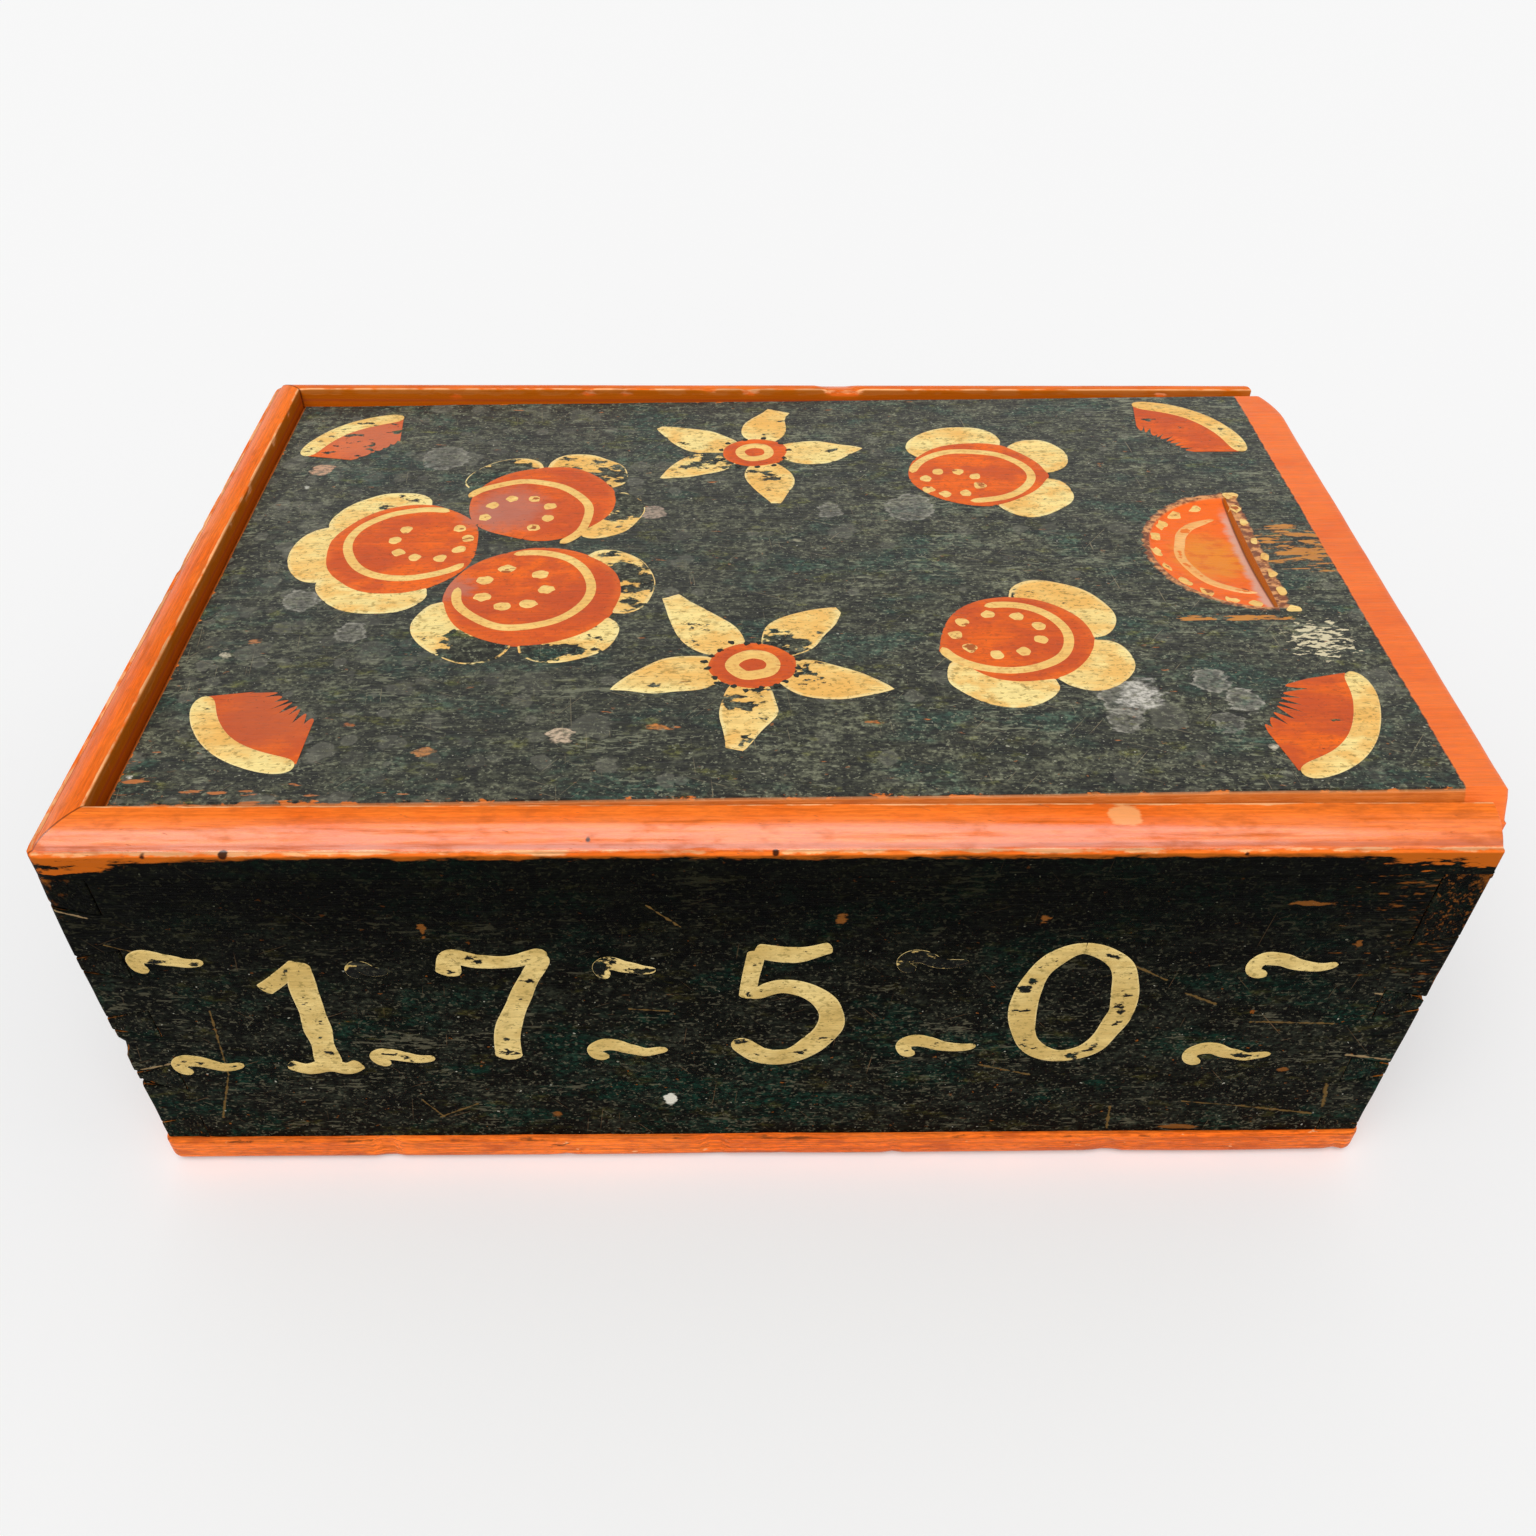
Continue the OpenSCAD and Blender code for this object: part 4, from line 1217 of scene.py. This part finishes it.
def ellipse(centre, radii, start=0.0, stop=360.0, count=64):
    """Points round an ellipse from one angle to another, in degrees."""
    angle = np.radians(np.linspace(start, stop, count))
    return np.array(centre) + np.stack([np.cos(angle), np.sin(angle)], 1) * radii


def hand(points, size, amount, seed):
    """The unsteady hand: each point wanders a little, smoothly along the line."""
    points = np.asarray(points, float)
    return points + amount * np.stack([ripple(points, size, seed), ripple(points, size, seed + 1)], 1)


def paint_all(name, dabs, material, body):
    """Joins dabs and strokes of one colour into one piece that rides on a body."""
    points, faces, depth, wear = zip(*dabs)
    starts = np.cumsum([0] + [len(film) for film in points[:-1]]).tolist()
    faces = [[start + corner for corner in face] for start, film in zip(starts, faces) for face in film]
    piece = make(name, np.concatenate(points), faces, material,
                 depth=np.concatenate(depth), wear=np.concatenate(wear))
    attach(piece, body)


def ornament_material(name, paint, faded, pale, grit, under, chips, gritty, shine=0.2, blooms=()):
    """A thin film of old oil paint with a ragged edge: streaks of the brush, a paler rim where the paint
    gathered, mottling, fine dark grit and hairlines with the grain, and small chips. Worn dabs have lost
    their middle in ragged patches, and a broken outline stays. Under it lies a colour or another paint's
    node group. A bloom is a hazy round patch: its middle, radius, tint and strength."""
    material, shader, place = begin(name)
    bottom = under
    if isinstance(under, bpy.types.NodeTree):
        bottom = use(under, Place=place, Edge=0.0)["Colour"]
    coat = use(old_paint, Place=place, Paint=paint, Faded=faded, Bare=bottom, Edge=0.0, Rub=0.0,
               Chips=chips, Bristle=0.14)
    depth = mark(place, "depth")
    colour = tinted(coat["Colour"], rise(depth, 0.14, 0.04), pale, 0.5)
    mottle = rise(cloud(place, (13, 9, 9), 5.0, 53.0), 0.46, 0.62)
    colour = tinted(colour, mottle, faded, 0.8)
    fray = cloud(place, (3.4, 2.2, 2.2), 4.0, 31.0)
    colour = tinted(colour, rise(fray, 0.54, 0.72), grit, 0.8 * gritty)
    grains = rise(cloud(place, (1.9, 1.1, 1.1), 3.0, 23.0), 0.55, 0.65)
    colour = tinted(colour, grains, grit, gritty)
    for x_mm, y_mm, radius, tint, amount in blooms:
        haze = spot_at(place, (x_mm, y_mm, 0), radius, fray, 6.0, 0.5 * radius)
        colour = tinted(colour, haze, tint, amount)
    hair = rise(cloud(place, (6, 0.4, 0.4), 2.0, 93.0), 0.66, 0.73)
    specks = rise(cloud(place, (1.1, 0.9, 0.9), 2.0, 67.0), 0.68, 0.73)
    colour = tinted(colour, greater(hair, specks), bottom, 1.2 * gritty)
    flaked = depth * 0.1 + cloud(place, (8, 4.5, 4.5), 5.0, 63.0)
    lost = rise(flaked + mark(place, "wear"), 0.94, 0.975)
    broken = rise(cloud(place, (6, 5, 5), 3.0, 39.0), 0.5, 0.44)
    inside = greater(rise(depth, 0.025, 0.055), broken)
    ragged = rise(fray * -0.25 + depth, -0.135, -0.16)
    gone = greater(lost * inside, ragged)
    coated(shader, mixed(gone, colour, bottom), coat["Roughness"] + 0.4, shine,
           coat["Height"] - gone * 0.5, 0.1)
    return material


cream = ornament_material("cream_paint", shade(255, 230, 152), shade(247, 190, 100), shade(255, 238, 174),
                          shade(150, 120, 56), lid_ground, 0.34, 0.6)
mauve = shade(186, 118, 100)
red = ornament_material("red_orange_paint", shade(242, 106, 22), shade(204, 82, 34), shade(236, 110, 40),
                        shade(168, 66, 28), lid_ground, 0.16, 0.4, 0.2,
                        ((-80, 31, 11, mauve, 0.75), (-90, -12, 5, mauve, 0.7), (-88, 26, 6, mauve, 0.5),
                         (-133, 76, 14, shade(206, 122, 88), 0.6), (112, -66, 7, shade(196, 108, 84), 0.55),
                         (-128, -66, 15, shade(192, 94, 56), 0.65)))
cream_on_red = ornament_material("cream_on_red", shade(252, 216, 134), shade(246, 196, 110),
                                 shade(255, 228, 156), shade(206, 128, 58), shade(176, 92, 40), 0.25, 0.45)


# Fruits: a round red body with a cream ring, a loop of cream seeds and three rounded cream leaves.
# Angles are in degrees round the body; a leaf is its middle, half spread, height, wear and the way in
# which the wear grows.
leaf_film, body_film, seed_film = 0.10, 0.16, 0.22
ring_width = 3.1
fruits = (
    dict(body=((-109.5, 10), (23.0, 24.5)), ring=((-106, 12.5), (20.5, 18.7), 68, 322),
         seeds=((-101.5, 13.5), (11, 10), 140, 404, 8, (2.0, 1.9)),
         leaves=((120, 42, 9.0, 0.26, (0.14, 0.05)), (187, 35, 10.5, 0.16, (0, 0)),
                 (256, 43, 9.5, 0.22, (0.08, 0)))),
    dict(body=((-69.6, 35.2), (23.3, 21.8)), ring=((-76, 27), (21.5, 20.5), 146, -50),
         seeds=((-77, 28), (10.5, 9.5), 187, -56, 7, (2.0, 1.9)),
         leaves=((129, 33, 9, 0.56, (-0.16, -0.12)), (57, 35, 10, 0.4, (0.0, -0.06)),
                 (-22, 36, 9.5, 0.44, (0.05, 0.2)))),
    dict(body=((-67, -15.5), (26, 24.3)), ring=((-70, -12.5), (19.5, 18.8), 107, -184),
         seeds=((-73, -11.5), (9.5, 10), 109, 401, 7, (2.6, 2.1)),
         leaves=((225, 38, 11.5, 0.4, (0.2, -0.3)), (299, 32, 9.5, 0.42, (-0.16, -0.1)),
                 (18, 40, 9.5, 0.44, (0.1, 0.04)))),
    dict(body=((69.5, 50), (22.0, 19.7)), tip=(-6, 0.07), ring=((67.5, 48.5), (19, 15.6), 172, -96),
         seeds=((61, 44), (9, 7.4), 117, -198, 8, (2.0, 1.9)),
         leaves=((104, 42, 11, 0.2, (0, 0)), (28, 28, 12, 0.24, (0, 0)), (-44, 35, 12, 0.2, (0, 0)))),
    dict(body=((70.3, -38.7), (20.7, 19.2)), tip=(196, 0.16), ring=((66, -38.3), (18, 15), 102, -164),
         seeds=((65, -37), (12.2, 9), 101, -219, 9, (2.0, 1.9)),
         leaves=((46, 46, 11.5, 0.28, (-0.1, -0.08)), (-35, 33, 12, 0.2, (0, 0)),
                 (249, 41, 11, 0.2, (0, 0)))),
)
leaves, bodies, rings = [], [], []
for index, fruit in enumerate(fruits):
    centre, radii = np.array(fruit["body"][0]), np.array(fruit["body"][1])
    tip, amount = fruit.get("tip", (0, 0))
    past = (np.linspace(0, 360, 64) - tip + 180) % 360 - 180
    rim = centre + (ellipse((0, 0), radii)) * (1 + amount * np.exp(-np.abs(past) / 14))[:, None]
    bodies.append(dab(centre, hand(rim, 26, 0.5, 200 + index)[:-1], body_film, on_lid, 0.16))
    ring_centre, ring_radii, start, stop = fruit["ring"]
    arc = hand(ellipse(ring_centre, ring_radii, start, stop, 90), 20, 0.35, 300 + index)
    rings.append(stroke(arc, pressed(90, ring_width, 0.04), seed_film, on_lid))
    seed_centre, seed_radii, start, stop, count, seed_size = fruit["seeds"]
    for number, place in enumerate(hand(ellipse(seed_centre, seed_radii, start, stop, count), 9, 0.5, 400)):
        grain = hand(ellipse(place, seed_size, count=25)[:-1], 3.2, 0.25, 420 + 10 * index + number)
        rings.append(dab(place, grain, seed_film, on_lid, 0.3))
    for middle, spread, tall, wear, lean in fruit["leaves"]:
        angle = np.radians(np.linspace(middle - spread, middle + spread, 41))
        across = np.linspace(-1, 1, 41)
        way = np.stack([np.cos(angle), np.sin(angle)], 1)
        outer = centre + way * (radii + (tall * (1 - np.abs(across) ** 2.6) ** 0.62)[:, None])
        inner = centre + way[::-1] * (radii * 0.86)
        rim = hand(np.concatenate([outer, inner]), 18, 0.4, 500 + index)
        mid = np.radians(middle)
        heart = centre + np.array([np.cos(mid), np.sin(mid)]) * (radii + 0.25 * tall)
        leaves.append(dab(heart, rim, leaf_film, on_lid, wear, lean))
paint_all("fruit_leaves", leaves, cream, "lid")
paint_all("fruit_bodies", bodies, red, "lid")
paint_all("fruit_rings_and_seeds", rings, cream_on_red, "lid")


# Star flowers: five pointed cream petals round a red middle that has a cream ring, with short dark
# ticks where the petals start. A petal is its angle, length, width, wear, the way the wear grows, and
# how blunt its tip is.
petal_root = 5.0
tick_size = (0.95, 0.75)
stars = (
    dict(centre=(-2.5, 65), middle=(11, 9), ring=(4.95, 4.4), ring_width=3.4, ticks=11,
         petals=((73, 30, 17, 0.28, (0, 0), 0.5), (3, 36.5, 16.5, 0.26, (0, 0), 0.0),
                 (-78, 33, 17, 0.3, (0, 0), 0.15), (207, 35, 16, 0.38, (0.0, 0.3), 0.0),
                 (152, 37.5, 16.5, 0.26, (0, 0), 0.1))),
    dict(centre=(-3.6, -49.5), middle=(12, 10), ring=(5.6, 4.6), ring_width=4.2, ticks=20,
         petals=((46, 35.5, 18, 0.38, (-0.2, -0.24), 0.12), (-16, 39, 17.5, 0.29, (-0.14, 0.12), 0.0),
                 (-98, 35, 17, 0.36, (0, 0), 0.25), (194, 39.5, 17, 0.22, (-0.12, -0.1), 0.0),
                 (126, 40.5, 17, 0.3, (0, 0.1), 0.3))),
)
petals, middles, hoops, ticks = [], [], [], []
for index, star in enumerate(stars):
    centre = np.array(star["centre"])
    for number, (angle, length, width, wear, lean, blunt) in enumerate(star["petals"]):
        along = np.linspace(0, 1, 34)
        swell = np.maximum(np.sin(np.pi * along ** 0.85), 0) ** 0.8 * (1 - 0.25 * along)
        swell += blunt * along ** 7
        bend = 1.6 * np.sin(np.pi * along) * (-1) ** number
        out = petal_root + (length - petal_root) * along
        upper, lower = (np.stack([out, bend + way * 0.5 * width * swell], 1) for way in (1, -1))
        side = np.concatenate([upper, lower[::-1][1:-1]])
        turn = np.radians(angle)
        matrix = np.array([[np.cos(turn), -np.sin(turn)], [np.sin(turn), np.cos(turn)]])
        rim = centre + hand(side, 15, 0.35, 600 + 10 * index + number) @ matrix.T
        heart = centre + np.array([0.5 * length, bend.max() if bend.max() > 0.1 else bend.min()]) @ matrix.T
        petals.append(dab(heart, rim, leaf_film, on_lid, wear, lean))
    rim = hand(ellipse(centre, star["middle"]), 12, 0.4, 700 + index)
    middles.append(dab(centre, rim[:-1], body_film, on_lid))
    hoop = hand(ellipse(centre, star["ring"], 0, 360, 60), 8, 0.25, 710 + index)
    hoops.append(stroke(hoop, np.full(60, 0.5 * star["ring_width"]), seed_film, on_lid))
    around = ellipse(centre, np.array(star["middle"]) + 0.3, 10, 370, star["ticks"] + 1)[:-1]
    for number, place in enumerate(hand(around, 4, 0.8, 730 + index)):
        blot = hand(ellipse(place, tick_size, count=17)[:-1], 2.0, 0.25, 750 + 30 * index + number)
        ticks.append(dab(place, blot, seed_film, on_lid))
tick_black = ornament_material("tick_black", shade(20, 24, 18), shade(34, 36, 26), shade(28, 30, 22),
                               shade(60, 60, 40), shade(70, 44, 24), 0.1, 0.3)
paint_all("star_petals", petals, cream, "lid")
paint_all("star_middles", middles, red, "lid")
paint_all("star_rings", hoops, cream_on_red, "lid")
paint_all("star_ticks", ticks, tick_black, "lid")


# Corner fans: in each corner of the lid a slice of fruit, with a thick cream rind outside and red flesh
# inside that ends in the marks of the brush's bristles.
# A fan is its centre, outer radius, first and last angle, wear, number of bristle marks and their length.
rind_width, flesh_deep = 7.0, 15.5
fans = (((-121, 60), 35.5, 96, 169, 0.3, 6, 1.5), ((126, 62), 37.0, 0, 83, 0.22, 10, 4.5),
        ((-117, -56), 35.5, 187, 268, 0.22, 8, 6.0), ((124, -63), 36.5, -77, 13, 0.22, 8, 8.0))
rinds, flesh = [], []
for index, (centre, outer_reach, start, stop, wear, marks, long) in enumerate(fans):
    angle = np.radians(np.linspace(start, stop, 240))
    way = np.stack([np.cos(angle), np.sin(angle)], 1)
    across = np.linspace(-1, 1, 240)
    taper = (1 - np.abs(across) ** 9) ** 0.5
    path = np.array(centre) + way * (outer_reach - 0.5 * rind_width)
    rinds.append(stroke(hand(path, 25, 0.3, 800 + index), np.maximum(0.5 * rind_width * taper, 0.02),
                        body_film, on_lid, wear))
    beat = np.linspace(0, marks, 240) + 0.25 * ripple(way * 30, 12, 830 + index)
    slits = np.abs(2 * (beat % 1) - 1) ** 2.2
    length = 0.75 + 0.3 * ripple(way * 30, 11, 820 + index)
    outer = outer_reach - rind_width + 2.5
    inner = outer - flesh_deep - 3.5 * (1 - across ** 2) + long * (length * slits - 0.25)
    path = np.array(centre) + way * (0.5 * (outer + inner))[:, None]
    flesh.append(stroke(path, 0.5 * (outer - inner), leaf_film, on_lid, wear, -way))
paint_all("fan_flesh", flesh, red, "lid")
paint_all("fan_rinds", rinds, cream, "lid")


# Border of the thumb pull: cream dabs of the brush inside the curved rim and along the straight edge,
# and a thin cream arc on the floor of the hollow.
arc_reach, arc_width = 20.4, 3.2
rim_dabs = ((112, 26.8), (129, 27.2), (146, 27.4), (161, 27.6), (178, 27.4), (195, 27.2), (213, 27.0),
            (229, 26.8), (245, 26.8), (259, 26.8))
edge_dabs = ((148.2, 34.0, 2.5, 1.8), (147.7, 26.8, 1.5, 2.3), (148.2, 18.8, 1.3, 1.9),
             (148.7, 8.5, 1.2, 1.9), (149.4, -0.2, 1.3, 1.9), (149.0, -9.2, 1.2, 1.9),
             (149.2, -17.9, 1.3, 2.3), (150.2, -26.7, 2.2, 1.4))
border = []
for number, (angle, reach) in enumerate(rim_dabs):
    turn = np.radians(angle)
    out = np.array([np.cos(turn), np.sin(turn)])
    place = pull_centre + out * reach
    oval = ellipse((0, 0), (1.35, 2.3), count=33)[:-1]
    rim = place + np.outer(oval[:, 0], out) + np.outer(oval[:, 1], (-out[1], out[0]))
    border.append(dab(place, hand(rim, 4, 0.5, 860 + number), seed_film, on_lid, 0.3))
for number, (x, y, half_x, half_y) in enumerate(edge_dabs):
    rim = hand(ellipse((x, y), (half_x, half_y), count=33)[:-1], 4, 0.35, 880 + number)
    border.append(dab(np.array([x, y]), rim, seed_film, on_lid, 0.32))
arc = hand(ellipse(pull_centre, (arc_reach, arc_reach), 104, 262, 80), 14, 0.4, 899)
fading = np.interp(np.linspace(0, 1, 80), [0, 0.25, 0.5, 0.8, 1], [0.4, 0.36, 0.24, 0.28, 0.36])
floor_cream = ornament_material("pull_arc_cream", shade(252, 206, 140), shade(248, 180, 104),
                                shade(252, 210, 146), shade(240, 150, 70), shade(240, 124, 42), 0.3, 0.5)
paint_all("pull_border", border, cream_on_red, "lid")
paint_all("pull_arc", [stroke(arc, pressed(80, arc_width, 0.3), body_film, on_lid, fading)], floor_cream,
          "lid")


# Painted number and strokes on the front board: a plain number in cream, in the hand of the rest, and
# two rows of short curled strokes between its figures.
number_film = 0.12


def on_front(plan, height):
    """Stands a plan of X and Z upright on the front board's face, plus the film's height."""
    y = np.full(plan.shape[:-1], wall_low[1] - proud) - height
    return np.stack([plan[..., 0], y, plan[..., 1]], axis=-1)


def through(points, count):
    """A smooth line through a few points: between each two, the cubic whose slope at a point is that
    of the line between its neighbours. A line that ends where it starts is smooth there too."""
    points = np.array(points, float)
    before, after = 2 * points[0] - points[1], 2 * points[-1] - points[-2]
    if np.allclose(points[0], points[-1]):
        before, after = points[-2], points[1]
    padded = np.concatenate([[before], points, [after]])
    where = np.linspace(0, len(points) - 1, count)
    first = np.minimum(where.astype(int), len(points) - 2)
    t = (where - first)[:, None]
    a, b, c, d = (padded[first + step] for step in range(4))
    square, cube = 2 * a - 5 * b + 4 * c - d, 3 * b - a - 3 * c + d
    return 0.5 * (2 * b + (c - a) * t + square * t ** 2 + cube * t ** 3)


figure_tall, figure_wide = 46.0, 27.0
figures = (
    (-121.0, 45.0, (([(0.14, 0.76), (0.34, 0.86), (0.54, 0.99)], (5.0, 4.6, 4.0)),
                    ([(0.54, 1.0), (0.52, 0.6), (0.53, 0.02)], (6.4, 7.4, 6.8)),
                    ([(0.1, 0.05), (0.28, 0.0), (0.5, 0.03), (0.68, 0.0), (0.84, 0.06)], (4.6, 5.4, 4.4)))),
    (-70.0, 48.5, (([(0.04, 0.80), (0.1, 0.96), (0.34, 0.93), (0.66, 0.92), (1.0, 0.99)], (6.6, 5.4, 4.6)),
                   ([(0.98, 0.98), (0.72, 0.64), (0.52, 0.32), (0.46, 0.0)], (4.2, 6.4, 7.6)))),
    (4.0, 50.0, (([(0.96, 1.0), (0.62, 0.93), (0.22, 0.97)], (4.4, 6.0, 5.6)),
                 ([(0.24, 0.97), (0.2, 0.76), (0.16, 0.55)], (4.4, 4.6, 4.8)),
                 ([(0.16, 0.57), (0.5, 0.66), (0.9, 0.52), (0.98, 0.26), (0.66, 0.02), (0.3, 0.0),
                   (0.02, 0.16)], (4.4, 7.6, 6.2)))),
    (81.0, 49.0, (([(0.5, 1.0), (0.14, 0.84), (0.02, 0.5), (0.14, 0.14), (0.5, 0.0), (0.88, 0.14),
                    (1.0, 0.5), (0.88, 0.84), (0.5, 1.0)], (4.6, 7.6, 5.0, 7.4, 4.6)),)),
)
number_strokes = []
for index, (middle, foot, lines) in enumerate(figures):
    for line, (points, widths) in enumerate(lines):
        placed = np.array(points) * (figure_wide, figure_tall) + (middle - figure_wide / 2, foot)
        path = through(placed, 120)
        path = hand(path, 26, 0.35, 900 + 10 * index + line)
        press = 1 + 0.08 * ripple(path, 16, 950 + index)
        press *= np.interp(np.linspace(0, 1, 120), np.linspace(0, 1, len(widths)), widths)
        ends = 0.5 * np.ones(120) if points[0] == points[-1] else pressed(120, 1.0, 0.06)
        number_strokes.append(stroke(path, ends * press, number_film + 0.03 * line, on_front, 0.3))
number_paint = ornament_material("number_cream", shade(228, 200, 130), shade(200, 168, 98),
                                 shade(238, 214, 150), shade(136, 118, 62), shaded_wall_ground, 0.4, 0.6, 0.05)
paint_all("front_number", number_strokes, number_paint, "case")

# A curl is the place of its middle, its length and its wear; the hook is its line when one long.
curls = ((-152, 91.5, 18, 0.3), (-102, 87.5, 9, 0.52), (-36, 88, 15, 0.4), (43, 90, 17, 0.5),
         (136, 88, 22, 0.22), (-153, 47, 18, 0.26), (-99, 50, 16, 0.28), (-37.5, 53, 20, 0.24),
         (47, 54, 20.5, 0.3), (128, 49.5, 23, 0.24))
hook = [(-0.3, -0.21), (-0.44, -0.14), (-0.47, 0.02), (-0.36, 0.12), (-0.18, 0.11), (0.0, 0.02),
        (0.18, -0.05), (0.36, -0.04), (0.5, 0.0)]
curl_strokes = []
for index, (x, z, length, wear) in enumerate(curls):
    path = through(np.array(hook) * (length, 0.9 * length) + (x, z), 70)
    press = np.interp(np.linspace(0, 1, 70), [0, 0.12, 0.4, 0.65, 1], [0.7, 0.8, 1.1, 0.9, 0.5])
    curl_strokes.append(stroke(hand(path, 9, 0.3, 970 + index), pressed(70, 4.8, 0.08) * press, number_film,
                               on_front, wear + np.linspace(-0.05, 0.08, 70)))
paint_all("front_curls", curl_strokes, number_paint, "case")


# Studio: a plain pale floor under a soft sky light, one broad soft sun from the front, and the camera
# where the photograph was taken from, looking down at the box.
camera_place = Vector((-4.87, -338.06, 359.77)) * MM
camera_pitch, camera_yaw, camera_roll = np.radians((42.53, 1.12, 0.60))
focal_pixels, image_pixels = 1350.0, 1536
floor_half = 6.0


def camera_axes():
    """Right, up and back of the camera: it looks down by the pitch, aside by the yaw and is rolled."""
    ahead = np.array([np.sin(camera_yaw) * np.cos(camera_pitch), np.cos(camera_yaw) * np.cos(camera_pitch),
                      -np.sin(camera_pitch)])
    level = np.array([np.cos(camera_yaw), -np.sin(camera_yaw), 0])
    upright = np.cross(level, ahead)
    right = np.cos(camera_roll) * level + np.sin(camera_roll) * upright
    up = np.cos(camera_roll) * upright - np.sin(camera_roll) * level
    return right, up, -ahead


def studio():
    """Floor, light, sky and camera."""
    scene = bpy.context.scene
    scene.view_settings.view_transform = "Standard"
    mesh = bpy.data.meshes.new("floor")
    corners = [(-floor_half, -floor_half, 0), (floor_half, -floor_half, 0), (floor_half, floor_half, 0),
               (-floor_half, floor_half, 0)]
    mesh.from_pydata(corners, [], [(0, 1, 2, 3)])
    floor = bpy.data.objects.new("floor", mesh)
    scene.collection.objects.link(floor)
    material, shader = begin("pale_floor")[:2]
    shader.inputs["Base Color"].default_value = (0.97, 0.97, 0.97, 1)
    shader.inputs["Roughness"].default_value = 0.9
    shader.inputs["Specular IOR Level"].default_value = 0.0
    mesh.materials.append(material)
    sun = bpy.data.lights.new("soft_sun", "SUN")
    sun.energy = 2.0
    sun.angle = np.radians(60)
    lamp = bpy.data.objects.new("soft_sun", sun)
    lamp.rotation_euler = Vector((0.1, 0.6, -1)).to_track_quat("-Z", "Y").to_euler()
    scene.collection.objects.link(lamp)
    world = bpy.data.worlds.new("sky")
    world.use_nodes = True
    scene.world = world
    sky = world.node_tree
    rays = sky.nodes.new("ShaderNodeLightPath").outputs
    seen = greater(Wire(rays["Is Camera Ray"]), Wire(rays["Is Glossy Ray"]))
    seen = greater(seen, Wire(rays["Is Transmission Ray"]))
    feed(sky.nodes["Background"].inputs["Strength"], seen * 0.58 + 0.42)
    sky.nodes["Background"].inputs["Color"].default_value = (1, 1, 1, 1)
    lens = bpy.data.cameras.new("camera")
    lens.sensor_width = 36.0
    lens.lens = focal_pixels / image_pixels * lens.sensor_width
    camera = bpy.data.objects.new("camera", lens)
    turn = Matrix(np.array(camera_axes()).T.tolist()).to_4x4()
    camera.matrix_world = Matrix.Translation(camera_place) @ turn
    scene.collection.objects.link(camera)
    scene.camera = camera


studio()
